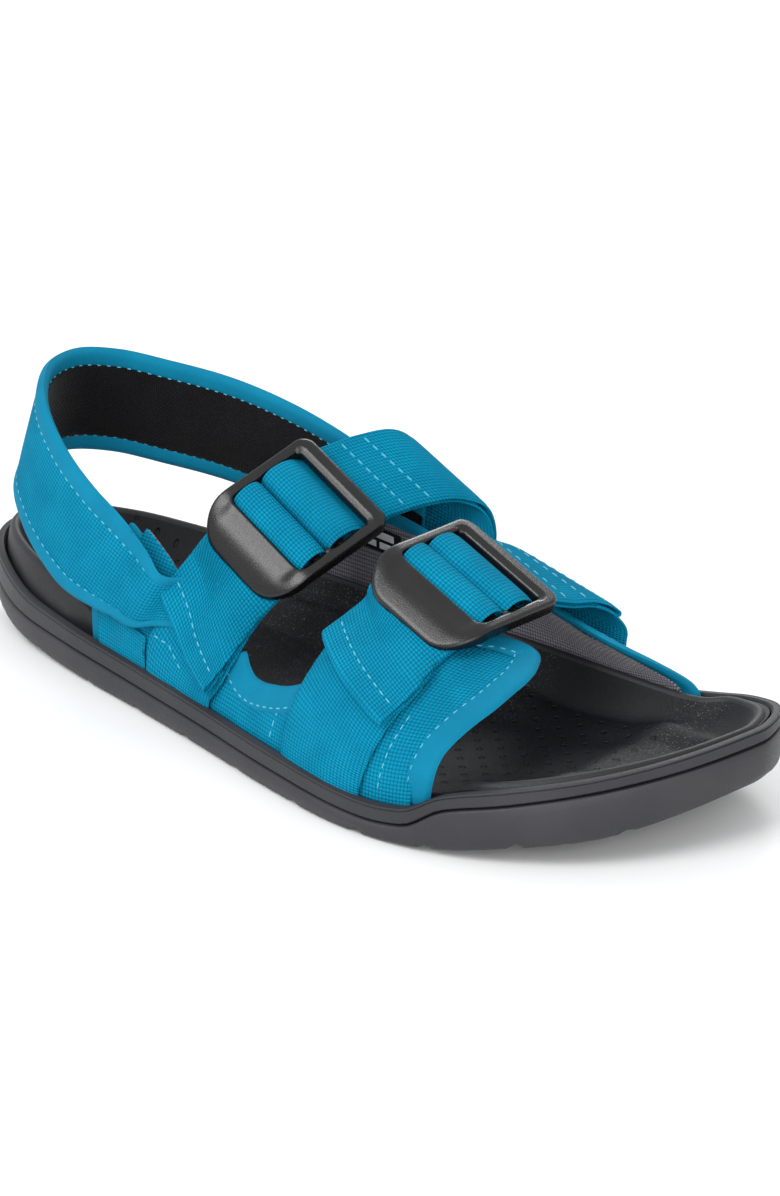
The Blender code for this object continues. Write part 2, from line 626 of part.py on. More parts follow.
def heel_flaps():
    """Fixed sewn ends of the heel strap, on the lateral and the medial panel."""
    sheet("heel_flap_lateral", patch_grid([(0, -64), (1, -64)], [(0, -45), (1, -45)], ON_SOLE,
                                          [(0, 0.035), (1, 0.04)], TAB_LIFT, False, 8, 2), 1.2, BLUE)
    sheet("heel_flap_medial", patch_grid([(0, -22), (1, -22)], [(0, -9), (1, -9)],
                                         [(0, 0.1), (1, 0.1)], [(0, 0.2), (1, 0.19)], TAB_LIFT,
                                         True, 4, 4), 1.2, BLUE)


# ---------------------------------------------------------------- build

for old in list(bpy.data.objects):
    bpy.data.objects.remove(old, do_unlink=True)
parts = bpy.data.collections.new("strappy_sport_sandal")
cutters = bpy.data.collections.new("cutters")
bpy.context.scene.collection.children.link(parts)
bpy.context.scene.collection.children.link(cutters)

outsole()
midsole()
footbed()
side_cloth("lateral", LAT_REAR, LAT_FRONT, LAT_TOP, False)
side_cloth("medial", MED_REAR, MED_FRONT, MED_TOP, True)
woven_label()
for name in BUCKLE:
    buckle(name)
    strap_turn(name)
tab("rear", -26, 32, (0.04, 0.08, 0.12, 0.16), 0.1, -6.7, 0.0033)
tab("front", 42, 25, (0.04, 0.08, 0.13, 0.18, 0.23, 0.27), 0.19, -6.3, 0.0022)
strap("rear", 18)
strap("front", 15)
heel_strap()
heel_flaps()
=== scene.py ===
"""Looks of the strappy sport sandal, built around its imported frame.

Shapes are worked out in millimetres in the frame's axes (+X toe, +Z up, -Y lateral side), from
the same foot form and sole stations as the solids, and MM turns them into metres.
"""
import math

import bmesh
import bpy
import numpy as np
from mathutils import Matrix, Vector


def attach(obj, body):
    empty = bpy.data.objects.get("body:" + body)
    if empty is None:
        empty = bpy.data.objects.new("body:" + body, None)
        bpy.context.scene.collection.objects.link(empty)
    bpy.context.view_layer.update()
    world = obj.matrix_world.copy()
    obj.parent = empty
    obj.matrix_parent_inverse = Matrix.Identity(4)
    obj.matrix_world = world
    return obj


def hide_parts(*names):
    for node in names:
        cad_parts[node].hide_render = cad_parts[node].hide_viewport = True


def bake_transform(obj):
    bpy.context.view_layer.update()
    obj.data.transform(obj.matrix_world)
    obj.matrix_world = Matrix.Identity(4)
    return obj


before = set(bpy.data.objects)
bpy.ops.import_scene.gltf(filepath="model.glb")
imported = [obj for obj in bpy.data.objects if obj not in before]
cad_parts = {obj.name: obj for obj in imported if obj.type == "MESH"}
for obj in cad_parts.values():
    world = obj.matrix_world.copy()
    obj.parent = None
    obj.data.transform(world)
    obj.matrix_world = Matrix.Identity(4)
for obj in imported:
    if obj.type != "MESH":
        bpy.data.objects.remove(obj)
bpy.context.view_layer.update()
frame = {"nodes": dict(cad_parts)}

MM = 0.001
SHIFT_Y = 6.8
SOLE, HEEL = "sole_and_upper", "heel_strap"

GAP = 0.3                # clearance between pieces that touch
WALL = 3.2               # outsole wall thickness
TREAD = 3.6              # outsole floor thickness

WEB_WIDTH = 31.5         # webbing of tabs and straps
WEB_THICK = 1.3
PLY = 1.0                # canvas and lining cloth
BINDING_WIDTH = 6.0
HEEL_WIDTH = 34.0        # heel strap over both bindings

# Plan outline of the sole, heel to toe, on each side.
LATERAL = [(-142.5, 1), (-139, -9), (-130, -18), (-113, -27), (-84, -34), (-50, -40), (-14, -47),
           (23, -55), (51, -59), (75, -57), (100, -48), (120, -33), (134, -13), (141, 8), (142.5, 17)]
MEDIAL = [(-142.5, 1), (-139, 11), (-130, 21), (-113, 30), (-84, 35), (-50, 35), (-14, 35.5),
          (23, 39), (50, 42.5), (74, 44), (100, 45), (120, 44.5), (134, 37), (140, 27), (142.5, 17)]
RING_POINTS = 38         # steps from heel to toe on one side

# Heights along the sole: (x, z) stations.
BOTTOM = [(-142, 9), (-125, 4.6), (-103, 1.9), (-80, 0.4), (-62, 0), (62, 0), (74, 0.5),
          (86, 1.7), (102, 4.6), (122, 8.2), (142, 16)]
GROOVE = [(-142, 18.8), (-125, 13), (-102, 10.2), (-74, 8.9), (-40, 7.8), (0, 7), (40, 6.2),
          (62, 5.4), (74, 6.6), (86, 13.6), (102, 17.5), (122, 22.4), (142, 27.5)]
BAND_LATERAL = [(-142, 26.7), (-125, 22.9), (-102, 17.8), (-74, 15.4), (-40, 14.1), (0, 13),
                (40, 11.8), (62, 10.8), (74, 12), (86, 18.3), (102, 22.4), (122, 26.8), (142, 32.2)]
BAND_MEDIAL = [(-142, 26.7), (-110, 24), (-60, 23), (0, 21.5), (50, 19), (74, 18.5), (102, 22.4),
               (122, 26.8), (142, 32.2)]
RIM_LATERAL = [(-142, 31.5), (-112, 29.5), (-88, 25), (-70, 17), (0, 15.5), (62, 13.5), (78, 14.5),
               (92, 21), (104, 23.5), (122, 27.4), (142, 32)]
RIM_MEDIAL = [(-142, 31.5), (-90, 30), (-40, 30), (0, 29), (60, 25.5), (100, 24), (122, 27.4),
              (142, 32)]
BED = [(-142, 19), (-110, 16.5), (-60, 16), (0, 15), (50, 11.5), (90, 12.5), (120, 17), (142, 24)]
MID_FLOOR = [(-142, 15), (-110, 11), (-60, 10.5), (0, 9.5), (50, 7.5), (90, 9), (120, 13.5),
             (142, 21)]

# The foot-shaped form that the upper is built over, as cross-section stations along X.
FORM_X = [-80, -50, -20, 0, 25, 50, 70, 90, 110]
FORM_CREST_Z = [80, 73, 66, 62.5, 58.5, 49.5, 42.5, 39, 36.5]
FORM_CREST_Y = [5, 18, 27, 27, 21, 12, 8, 5, 4]
FORM_FULL_LATERAL = [3.0, 2.2, 1.4, 1.4, 1.8, 2.3, 2.4, 2.4, 2.4]
FORM_FULL_MEDIAL = [3.0, 2.6, 2.4, 2.4, 2.3, 2.2, 2.1, 2.0, 2.0]
RIM_INSET = 5.8          # the upper goes into the sole this far inside its edge
TUCK = 3.0               # depth of upper hidden in the sole

# Layers of the upper, as distance of each layer's middle from the foot form.
LINING_LIFT = 0.5
CANVAS_LIFT = 1.8
BINDING_LIFT = 1.15
TAB_LIFT = 3.4
TAB_TOP_LIFT = 5.1
LINING_THICK = 0.8
BINDING_THICK = 2.4

# Buckle frames in world space: fixed-bar centre, bar direction, direction across to medial.
BUCKLE = {
    "rear": dict(bar=(-15.6, -6.9, 57.7), along=(0.89, -0.05, -0.45), across=(0.26, 0.89, 0.40)),
    "front": dict(bar=(52.4, -9.2, 57.3), along=(0.92, -0.03, -0.39), across=(0.05, 1.0, 0.0)),
}
BUCKLE_WIDTH = 38.6
BUCKLE_FAR = 24.5        # far edge of the frame, from the fixed bar
BUCKLE_LIP = -16.5       # tip of the lever lip, from the fixed bar
WINDOW = (-6.5, 19.5)    # slot between lip and far bar
WINDOW_WIDTH = 33.0
BAR_RADIUS = 1.7
SLIDE_BAR_Y = 9.0        # adjusting bar, from the fixed bar
STRAP_SPLIT_Y = 27.0     # where the strap leaves the moving buckle


def cubic(a, b, slope_a, slope_b, t):
    """Cubic from a to b with slopes at its ends, at share t of the way."""
    return (a * (1 + 2 * t) * (1 - t) ** 2 + b * t * t * (3 - 2 * t)
            + slope_a * t * (1 - t) ** 2 - slope_b * t * t * (1 - t))


def smooth(stations):
    """Monotone cubic through (x, value) stations."""
    xs, ys = (np.array(c, float) for c in zip(*stations))
    step = np.diff(xs)
    slope = np.diff(ys) / step
    tangent = np.zeros(len(xs))
    for i in range(1, len(xs) - 1):
        if slope[i - 1] * slope[i] > 0:
            w1, w2 = 2 * step[i] + step[i - 1], step[i] + 2 * step[i - 1]
            tangent[i] = (w1 + w2) / (w1 / slope[i - 1] + w2 / slope[i])
    tangent[0], tangent[-1] = slope[0], slope[-1]

    def value(x):
        x = min(max(x, xs[0]), xs[-1])
        i = min(int(np.searchsorted(xs, x, side="right")) - 1, len(step) - 1)
        i = max(i, 0)
        slopes = tangent[i:i + 2] * step[i]
        return float(cubic(ys[i], ys[i + 1], slopes[0], slopes[1], (x - xs[i]) / step[i]))
    return value


def curve(points):
    """Dense smooth curve through points, and the distance travelled at each of its points."""
    p = np.array(points, float)
    chord = np.linalg.norm(np.diff(p[:, :3], axis=0), axis=1)
    slope = np.diff(p, axis=0) / chord[:, None]
    share = (chord[1:] / (chord[1:] + chord[:-1]))[:, None]
    tangent = np.vstack([slope[0], slope[:-1] * share + slope[1:] * (1 - share), slope[-1]])
    dense = []
    for i, length in enumerate(chord):
        for t in np.linspace(0, 1, 12, endpoint=False):
            dense.append(cubic(p[i], p[i + 1], length * tangent[i], length * tangent[i + 1], t))
    dense = np.array(dense + [p[-1]])
    return dense, travel(dense)


def travel(path):
    """Distance gone at each point of a path."""
    return np.concatenate([[0], np.cumsum(np.linalg.norm(np.diff(path, axis=0), axis=1))])


def pick(at, known, table):
    return np.stack([np.interp(at, known, column) for column in table.T], 1)


def spline(points, count):
    """Smooth curve through points, resampled to count evenly spaced points."""
    dense, travelled = curve(points)
    return pick(np.linspace(0, travelled[-1], count), travelled, dense)


def ease(x, low, high):
    t = min(max((x - low) / (high - low), 0.0), 1.0)
    return t * t * (3 - 2 * t)


def unit(v):
    v = np.array(v, float)
    return v / np.linalg.norm(v)


def grid_faces(rows, cols):
    return [(r * cols + c, r * cols + c + 1, (r + 1) * cols + c + 1, (r + 1) * cols + c)
            for r in range(rows - 1) for c in range(cols - 1)]


def tube_faces(start, steps, sides):
    """Faces between the rings of a tube whose points begin at start."""
    return [(start + r * sides + c, start + r * sides + (c + 1) % sides,
             start + (r + 1) * sides + (c + 1) % sides, start + (r + 1) * sides + c)
            for r in range(steps) for c in range(sides)]


def cap(start, sides):
    return tuple(range(start, start + sides))


def ribbon_grid(centre, wide, width, count=20, cols=3, shift=0.0, lift=0.0):
    """Rows of points of a strip along centre points; wide gives its width direction at each."""
    both = spline([tuple(c) + tuple(unit(w)) for c, w in zip(centre, wide)], count)
    grid = []
    for row, ahead in zip(both, np.gradient(both[:, :3], axis=0)):
        side = unit(row[3:])
        normal = unit(np.cross(ahead, side))
        grid.append([row[:3] + side * (shift + width * a) + normal * lift
                     for a in np.linspace(-0.5, 0.5, cols)])
    return grid


def sole_ring():
    """Outline points and their spine points, lateral heel to toe then medial back."""
    lat = spline(LATERAL, RING_POINTS + 1)
    med = spline(MEDIAL, RING_POINTS + 1)
    spine = (lat + med) / 2
    spine[:, 0] *= 0.86
    order = [(i, 0) for i in range(RING_POINTS + 1)] + [(i, 1) for i in range(RING_POINTS - 1, 0, -1)]
    edge = np.array([(lat, med)[side][i] for i, side in order])
    centre = np.array([spine[i] for i, _ in order])
    reach = [min(1.0, 30 * min(i, RING_POINTS - i) / RING_POINTS / 5) for i, _ in order]
    side = np.array([0.5 + (s - 0.5) * r for (_, s), r in zip(order, reach)])
    ahead, behind = np.roll(edge, -1, 0), np.roll(edge, 1, 0)
    tangent = ahead - behind
    normal = np.stack([-tangent[:, 1], tangent[:, 0]], 1)
    normal /= np.linalg.norm(normal, axis=1)[:, None]
    inward = np.sign(((centre - edge) * normal).sum(1))[:, None]
    return edge, centre, side, normal * inward


def upper_span(x, side):
    """1 where the upper goes into the sole, 0 at heel and toe."""
    start = -74 if side < 0.5 else -66
    stop = 88 if side < 0.5 else 106
    return ease(x, start - 14, start - 4) * (1 - ease(x, stop + 2, stop + 10))


# ---------------------------------------------------------------- foot form

form_z, form_y = smooth(list(zip(FORM_X, FORM_CREST_Z))), smooth(list(zip(FORM_X, FORM_CREST_Y)))
full_lat = smooth(list(zip(FORM_X, FORM_FULL_LATERAL)))
full_med = smooth(list(zip(FORM_X, FORM_FULL_MEDIAL)))
edge_lat, edge_med = smooth(LATERAL), smooth(MEDIAL)
rim_lat, rim_med = smooth(BAND_LATERAL), smooth(BAND_MEDIAL)


def form_point(x, t):
    """Point of the foot form: t runs 0 lateral rim, 0.5 crest, 1 medial rim."""
    lateral = t < 0.5
    angle = (t if lateral else 1 - t) * math.pi
    power = 2 / (full_lat(x) if lateral else full_med(x))
    out, up = max(math.cos(angle), 0) ** power, max(math.sin(angle), 0) ** power
    edge = edge_lat(x) + RIM_INSET if lateral else edge_med(x) - RIM_INSET
    base = rim_lat(x) if lateral else rim_med(x)
    crest = form_y(x)
    return np.array([x, crest + (edge - crest) * out, base + (form_z(x) - base) * up])


def on_form(x, t, lift):
    """Point lifted off the form; t below 0 or above 1 goes straight down into the sole."""
    inside = min(max(t, 0.02), 0.98)
    step = 0.01
    along = form_point(x + 1, inside) - form_point(x - 1, inside)
    around = form_point(x, inside + step) - form_point(x, inside - step)
    normal = unit(np.cross(along, around))
    point = form_point(x, min(max(t, 0.0), 1.0))
    if t < 0 or t > 1:
        normal = unit((0, -1, 0) if t < 0 else (0, 1, 0))
        point[2] -= (-t if t < 0 else t - 1) * 100
    elif t < 0.02 or t > 0.98:
        near = (0.02 - min(t, 1 - t)) / 0.02
        side = np.array((0, -1, 0) if t < 0.5 else (0, 1, 0), float)
        normal = unit(normal * (1 - near) + side * near)
    return point + normal * lift


def patch_grid(rear, front, low, top, lift, medial=False, cols=26, rows=6):
    """Panel on the form. rear, front: edge x at height share t. low, top: (u, t) of its edges."""
    rear_x, front_x, low_t, top_t = smooth(rear), smooth(front), smooth(low), smooth(top)
    grid = []
    for r in range(rows + 1):
        row = []
        for c in range(cols + 1):
            u = c / cols
            t = low_t(u) + (top_t(u) - low_t(u)) * r / rows
            level_t = max(t, 0.0)
            x = rear_x(level_t) + (front_x(level_t) - rear_x(level_t)) * u
            row.append(on_form(x, 1 - t if medial else t, lift))
        grid.append(row)
    return grid


INTO_SOLE = [(0, -TUCK / 100), (1, -TUCK / 100)]

# Lateral panel: edges at height share t, and its upper edge with the U notch.
LAT_REAR = [(0, -66), (0.07, -65), (0.2, -53), (0.5, -50)]
LAT_FRONT = [(0, 74), (0.1, 75), (0.2, 78), (0.3, 80), (0.4, 79), (0.5, 74)]
LAT_TOP = [(0, 0.2), (0.1, 0.18), (0.25, 0.13), (0.36, 0.115), (0.43, 0.085), (0.5, 0.07), (0.6, 0.08),
           (0.66, 0.12), (0.71, 0.22), (0.8, 0.33), (0.9, 0.4), (1, 0.43)]
MED_REAR = [(0, -58), (0.1, -56), (0.25, -46), (0.5, -44)]
MED_FRONT = [(0, 98), (0.05, 96), (0.15, 87), (0.22, 79), (0.27, 70), (0.5, 66)]
MED_TOP = [(0, 0.16), (0.2, 0.22), (0.4, 0.22), (0.5, 0.2), (0.6, 0.22), (0.8, 0.22), (1, 0.22)]


def buckle_axes(which):
    frame = BUCKLE[which]
    along = unit(frame["along"])
    across = np.array(frame["across"], float)
    across = unit(across - along * across.dot(along))
    return np.array(frame["bar"], float), along, across, np.cross(along, across)


def in_buckle(which, x, y, z):
    """World point from buckle coordinates: along the bars, across to medial, up."""
    bar, along, across, up = buckle_axes(which)
    return bar + along * x + across * y + up * z


def lip_drop(y):
    """Height of the frame's middle: flat, then the lever lip curves down."""
    return -0.028 * max(-4.0 - y, 0.0) ** 2


def web_grid(stops, count, cols):
    """Webbing through stops: each gives the point at a distance from the webbing's middle."""
    travelled = curve([stop(0.0) for stop in stops])[1]
    order = np.arange(len(travelled))
    at = np.interp(np.linspace(0, travelled[-1], count), travelled, order)
    edges = np.linspace(-0.5, 0.5, cols) * WEB_WIDTH
    return np.stack([pick(at, order, curve([stop(w) for stop in stops])[0]) for w in edges], 1)


def at_rim(x, lift, height, medial=False):
    """Stop where webbing meets the sole, height above its band."""
    edge, rim, sign = (edge_med, rim_med, 1) if medial else (edge_lat, rim_lat, -1)
    inset = RIM_INSET - lift
    return lambda w: np.array([x + w, edge(x + w) - sign * inset, rim(x + w) + height])


def at_form(x, t, lift, tilt=0.0):
    """Stop on the lateral form; tilt lowers the toe side of the webbing."""
    return lambda w: on_form(x + w, t - tilt * w * min(1.0, t / 0.12), lift)


def at_buckle(which, y, z):
    return lambda w: in_buckle(which, w, y, z)


def at_free(centre, wide):
    return lambda w: np.array(centre, float) + unit(wide) * w


# Strap over the foot to the medial side, after the buckle: points and width directions.
STRAP_PATH = {
    "rear": [((-3, 27.5, 68.5), (.88, 0, -.47)), ((4, 35, 69.5), (.84, .1, -.53)),
             ((8.5, 40, 65.5), (.85, .1, -.5)), ((9.5, 41.5, 57), (.92, .1, -.35)),
             ((9.5, 40, 46), (1, .05, -.1)), ((9.5, 38, 36), (1, .08, 0))],
    "front": [((53, 26, 50), (.93, 0, -.36)), ((55, 34, 47), (.95, .05, -.3)),
              ((57.5, 40.5, 41.5), (.97, .08, -.25)), ((59, 42.5, 35), (1, .08, -.12)),
              ((59, 42, 30), (1, .08, 0))],
}
STRAP_BASE = {"rear": 9.5, "front": 59.0}
TAIL_LAYER = 1.7         # tail lies this far outside the load layer

# Heel strap, lateral to medial: middle points and width directions.
HEEL_PATH = [(-43, -38.8, 33), (-50, -38.8, 37.5), (-58, -38.6, 42), (-74, -37, 49.5),
             (-92, -32, 59), (-107, -22.5, 67.5), (-115, -9, 71.5), (-116.5, 5, 71.5), (-111, 18, 69),
             (-98, 28, 65.5), (-78, 34.5, 63), (-55, 36.5, 60), (-30, 36.5, 55)]
HEEL_WIDE = [(.5, .15, .85), (.5, .15, .85), (.5, .15, .85), (.5, .1, .85), (.45, .05, .89),
             (.36, .02, .93), (.22, 0, .97), (.15, 0, .98), (.12, 0, .99), (.1, 0, 1),
             (.1, -.02, 1), (.15, -.05, 1), (.2, -.1, 1)]
HEEL_BINDING = 5.6       # width of each rolled binding of the heel strap


# ---------------------------------------------------------------- materials

class Shader:
    """A Principled material, with short ways to add nodes to it."""

    def __init__(self, name, roughness, sheen=0.0, specular=0.5):
        self.mat = bpy.data.materials.new(name)
        self.mat.use_nodes = True
        self.tree = self.mat.node_tree
        self.bsdf = self.tree.nodes["Principled BSDF"]
        self.bsdf.inputs["Roughness"].default_value = roughness
        self.bsdf.inputs["Sheen Weight"].default_value = sheen
        self.bsdf.inputs["Sheen Roughness"].default_value = 0.4
        self.bsdf.inputs["Specular IOR Level"].default_value = specular
        self.place = self.tree.nodes.new("ShaderNodeTexCoord")

    def plug(self, value, socket):
        if isinstance(value, bpy.types.NodeSocket):
            self.tree.links.new(value, socket)
        else:
            socket.default_value = value

    def math(self, operation, a, b=0.0, c=0.0):
        node = self.tree.nodes.new("ShaderNodeMath")
        node.operation = operation
        for value, socket in zip((a, b, c), node.inputs):
            self.plug(value, socket)
        return node.outputs[0]

    def times(self, a, b):
        return self.math("MULTIPLY", a, b)

    def plus(self, a, b):
        return self.math("ADD", a, b)

    def minus(self, a, b):
        return self.math("SUBTRACT", a, b)

    def zone(self, value, low_out, low_in, high_in, high_out):
        """1 from low_in to high_in, fading to 0 at the outer pair."""
        return self.times(self.spread(value, low_out, low_in),
                          self.spread(value, high_in, high_out, 1.0, 0.0))

    def mix(self, amount, a, b):
        node = self.tree.nodes.new("ShaderNodeMix")
        node.data_type = "RGBA"
        self.plug(amount, node.inputs[0])
        self.plug(a, node.inputs[6])
        self.plug(b, node.inputs[7])
        return node.outputs[2]

    def noise(self, scale, detail=3.0, rough=0.5):
        node = self.tree.nodes.new("ShaderNodeTexNoise")
        self.tree.links.new(self.place.outputs["Object"], node.inputs["Vector"])
        node.inputs["Scale"].default_value = scale
        node.inputs["Detail"].default_value = detail
        node.inputs["Roughness"].default_value = rough
        return node.outputs["Fac"]

    def spread(self, value, low, high, to_low=0.0, to_high=1.0):
        node = self.tree.nodes.new("ShaderNodeMapRange")
        self.plug(value, node.inputs[0])
        for i, number in enumerate((low, high, to_low, to_high)):
            node.inputs[i + 1].default_value = number
        return node.outputs[0]

    def axes(self, which):
        node = self.tree.nodes.new("ShaderNodeSeparateXYZ")
        self.tree.links.new(self.place.outputs[which], node.inputs[0])
        return node.outputs

    def bump(self, height, distance, strength=1.0):
        node = self.tree.nodes.new("ShaderNodeBump")
        node.inputs["Strength"].default_value = strength
        node.inputs["Distance"].default_value = distance
        self.tree.links.new(height, node.inputs["Height"])
        self.tree.links.new(node.outputs[0], self.bsdf.inputs["Normal"])

    def colour(self, value):
        self.plug(value, self.bsdf.inputs["Base Color"])

    def roughness(self, value):
        self.plug(value, self.bsdf.inputs["Roughness"])


def weave(sh, across, along, flat=0.5):
    """Height 0..1 of a plain weave with threads across and along, in millimetres of UV."""
    u, v, _ = sh.axes("UV")
    a, b = sh.math("DIVIDE", u, across), sh.math("DIVIDE", v, along)
    cells = sh.plus(sh.math("FLOOR", a), sh.math("FLOOR", b))
    over = sh.times(sh.math("FRACT", sh.times(cells, 0.5)), 2.0)
    waves = [sh.math("COSINE", sh.times(sh.minus(sh.math("FRACT", part), 0.5), math.pi))
             for part in (a, b)]
    warp, weft = (sh.times(sh.math("POWER", wave, flat), sh.math("MULTIPLY_ADD", other, 0.45, 0.55))
                  for wave, other in (waves, waves[::-1]))
    return sh.plus(sh.times(warp, sh.minus(1.0, over)), sh.times(weft, over))


def fabric(name, hollow_shade, mid, light, across, along, depth, roughness=0.9, sheen=0.0, flat=0.5):
    """Woven cloth: threads in relief, with painted shade darkening the hollows between them, and soft uneven
    dye and wear.
    """
    sh = Shader(name, roughness, sheen, 0.05)
    height = weave(sh, across, along, flat)
    cloud = sh.spread(sh.noise(90, 4), 0.35, 0.7)
    fibre = sh.noise(3200, 2, 0.7)
    body = sh.mix(cloud, mid, light)
    thread = sh.math("MULTIPLY_ADD", fibre, 0.35, sh.times(height, 0.85))
    # Painted shade: the hollows between the threads are coloured darker.
    sh.colour(sh.mix(sh.spread(thread, 0.18, 0.85), hollow_shade, body))
    sh.bump(sh.math("MULTIPLY_ADD", fibre, 0.25, height), depth * MM)
    return sh.mat


def satin(name, hollow_shade, mid, light):
    """Smooth knitted edge tape: very fine ribs across it, painted darker between them as shade."""
    sh = Shader(name, 0.75, 0.0, 0.1)
    height = weave(sh, 0.45, 0.45, 0.6)
    cloud = sh.spread(sh.noise(70, 4), 0.3, 0.7)
    # Painted shade: darker colour between the ribs.
    sh.colour(sh.mix(sh.spread(height, 0.0, 0.7), hollow_shade, sh.mix(cloud, mid, light)))
    sh.bump(height, 0.06 * MM)
    return sh.mat


def rubber(name, colour, worn, roughness, grain, depth):
    """Moulded rubber or foam: fine grain and faintly paler rubbed patches."""
    sh = Shader(name, roughness, 0.0, 0.4)
    fine = sh.noise(grain, 5, 0.65)
    patch = sh.spread(sh.noise(45, 5), 0.4, 0.75)
    sh.colour(sh.mix(sh.times(patch, fine), colour, worn))
    sh.roughness(sh.spread(fine, 0.3, 0.7, roughness - 0.08, roughness + 0.1))
    sh.bump(fine, depth * MM)
    return sh.mat


def footbed_foam():
    """Black foam with painted glints (pale specks) in its pebbled middle and toe crest, and rows of small
    vent dimples painted darker as shade.
    """
    sh = Shader("footbed_foam_black", 0.6, 0.0, 0.3)
    x, y, _ = sh.axes("Object")
    pitch = 0.0086
    dots = []
    for shift in (0.0, 0.5):
        a = sh.plus(sh.math("DIVIDE", x, pitch), shift)
        b = sh.plus(sh.math("DIVIDE", y, pitch), shift)
        fa = sh.minus(sh.math("FRACT", a), 0.5)
        fb = sh.minus(sh.math("FRACT", b), 0.5)
        reach = sh.math("SQRT", sh.plus(sh.times(fa, fa), sh.times(fb, fb)))
        dots.append(sh.spread(reach, 0.07, 0.12, 1.0, 0.0))
    front, back = sh.zone(x, 0.052, 0.054, 0.104, 0.106), sh.zone(x, -0.118, -0.116, -0.062, -0.06)
    vented = sh.times(sh.plus(front, back), sh.zone(y, -0.034, -0.031, 0.031, 0.034))
    dimple = sh.times(sh.math("MAXIMUM", dots[0], dots[1]), vented)
    pebble = sh.noise(1500, 4, 0.7)
    middle, crest = sh.zone(x, -0.06, -0.05, 0.05, 0.062), sh.zone(x, 0.096, 0.104, 0.112, 0.122)
    rough_zone = sh.plus(sh.times(middle, 0.9), sh.times(crest, 0.7))
    # Painted glints: pale specks in the pebbled middle and toe crest stand in for the foam's glossy sparkle.
    painted_glints = sh.times(sh.spread(sh.noise(2600, 1, 0.2), 0.68, 0.74), rough_zone)
    base = sh.mix(sh.spread(pebble, 0.35, 0.7), (0.0035, 0.0035, 0.005, 1), (0.009, 0.0095, 0.012, 1))
    lit = sh.mix(painted_glints, base, (0.2, 0.21, 0.23, 1))
    # Painted shade: the vent dimples are coloured near black.
    sh.colour(sh.mix(dimple, lit, (0.0015, 0.0015, 0.002, 1)))
    grain = sh.times(pebble, sh.math("MULTIPLY_ADD", rough_zone, 0.8, 0.25))
    sh.bump(sh.minus(grain, sh.times(dimple, 1.6)), 0.35 * MM)
    sh.roughness(sh.spread(pebble, 0.3, 0.7, 0.42, 0.62))
    return sh.mat


def moulded(name):
    """Satin black nylon: spark-eroded grain, with soft random patches painted a little brown as highlights.
    """
    sh = Shader(name, 0.3, 0.0, 0.5)
    grain = sh.noise(2600, 3, 0.6)
    painted_brown_highlight = sh.spread(sh.noise(60, 5), 0.45, 0.8)
    # Painted highlight: soft random patches tinted brown.
    sh.colour(sh.mix(painted_brown_highlight, (0.003, 0.003, 0.0035, 1), (0.010, 0.008, 0.0072, 1)))
    sh.roughness(sh.spread(grain, 0.3, 0.7, 0.2, 0.33))
    sh.bump(grain, 0.05 * MM)
    return sh.mat


def knit(name, hollow_shade, light, pitch):
    """Looped mesh knit of the lining, painted darker between the loops as shade."""
    sh = Shader(name, 0.9, 0.4, 0.3)
    height = weave(sh, pitch, pitch * 1.5, 1.2)
    cloud = sh.spread(sh.noise(140, 4), 0.35, 0.7)
    faded = [c * 0.8 for c in light[:3]] + [1]
    # Painted shade: darker colour between the loops.
    sh.colour(sh.mix(sh.spread(height, 0.15, 0.8), hollow_shade, sh.mix(cloud, light, faded)))
    sh.bump(height, 0.18 * MM)
    return sh.mat


def thread_material(name, colour):
    """Twisted sewing thread."""
    sh = Shader(name, 0.5, 0.3, 0.4)
    fine = sh.noise(2500, 2)
    sh.colour(sh.mix(fine, [c * 0.7 for c in colour[:3]] + [1], colour))
    sh.bump(fine, 0.05 * MM)
    return sh.mat


WEB = fabric("webbing_blue", (0.001, 0.085, 0.145, 1), (0.002, 0.205, 0.35, 1), (0.003, 0.25, 0.415, 1),
             1.25, 0.95, 0.34, 0.9, 0.0, 0.6)
CANVAS = fabric("canvas_blue", (0.001, 0.085, 0.145, 1), (0.002, 0.19, 0.325, 1), (0.003, 0.235, 0.39, 1),
                1.15, 1.15, 0.3, 0.9, 0.0, 0.5)
BINDING = satin("binding_blue", (0.001, 0.12, 0.21, 1), (0.002, 0.175, 0.30, 1), (0.003, 0.21, 0.35, 1))
FELT = fabric("padding_black", (0.002, 0.002, 0.0025, 1), (0.0075, 0.0075, 0.0085, 1),
              (0.012, 0.0115, 0.0125, 1), 0.7, 0.7, 0.14, 0.95, 0.12, 1.0)
LINING = knit("lining_grey", (0.045, 0.043, 0.05, 1), (0.27, 0.255, 0.3, 1), 0.9)
LABEL = fabric("label_black", (0.004, 0.004, 0.005, 1), (0.014, 0.014, 0.016, 1),
               (0.02, 0.02, 0.022, 1), 0.4, 0.4, 0.05, 0.6)
PATCH = fabric("label_pale", (0.3, 0.3, 0.31, 1), (0.8, 0.8, 0.8, 1), (0.88, 0.88, 0.88, 1),
               0.4, 0.4, 0.05, 0.6)
THREAD = thread_material("thread_light_blue", (0.09, 0.46, 0.6, 1))
RUBBER = rubber("sole_rubber_charcoal", (0.025, 0.025, 0.029, 1), (0.043, 0.042, 0.047, 1), 0.5, 1300, 0.1)
FOAM = rubber("sole_foam_charcoal", (0.021, 0.021, 0.025, 1), (0.038, 0.038, 0.043, 1), 0.55, 1700, 0.12)
RIM = rubber("footbed_rim_black", (0.011, 0.011, 0.013, 1), (0.026, 0.026, 0.029, 1), 0.5, 1800, 0.12)
BED_FOAM = footbed_foam()
PLASTIC = moulded("buckle_nylon_black")


# ---------------------------------------------------------------- meshes

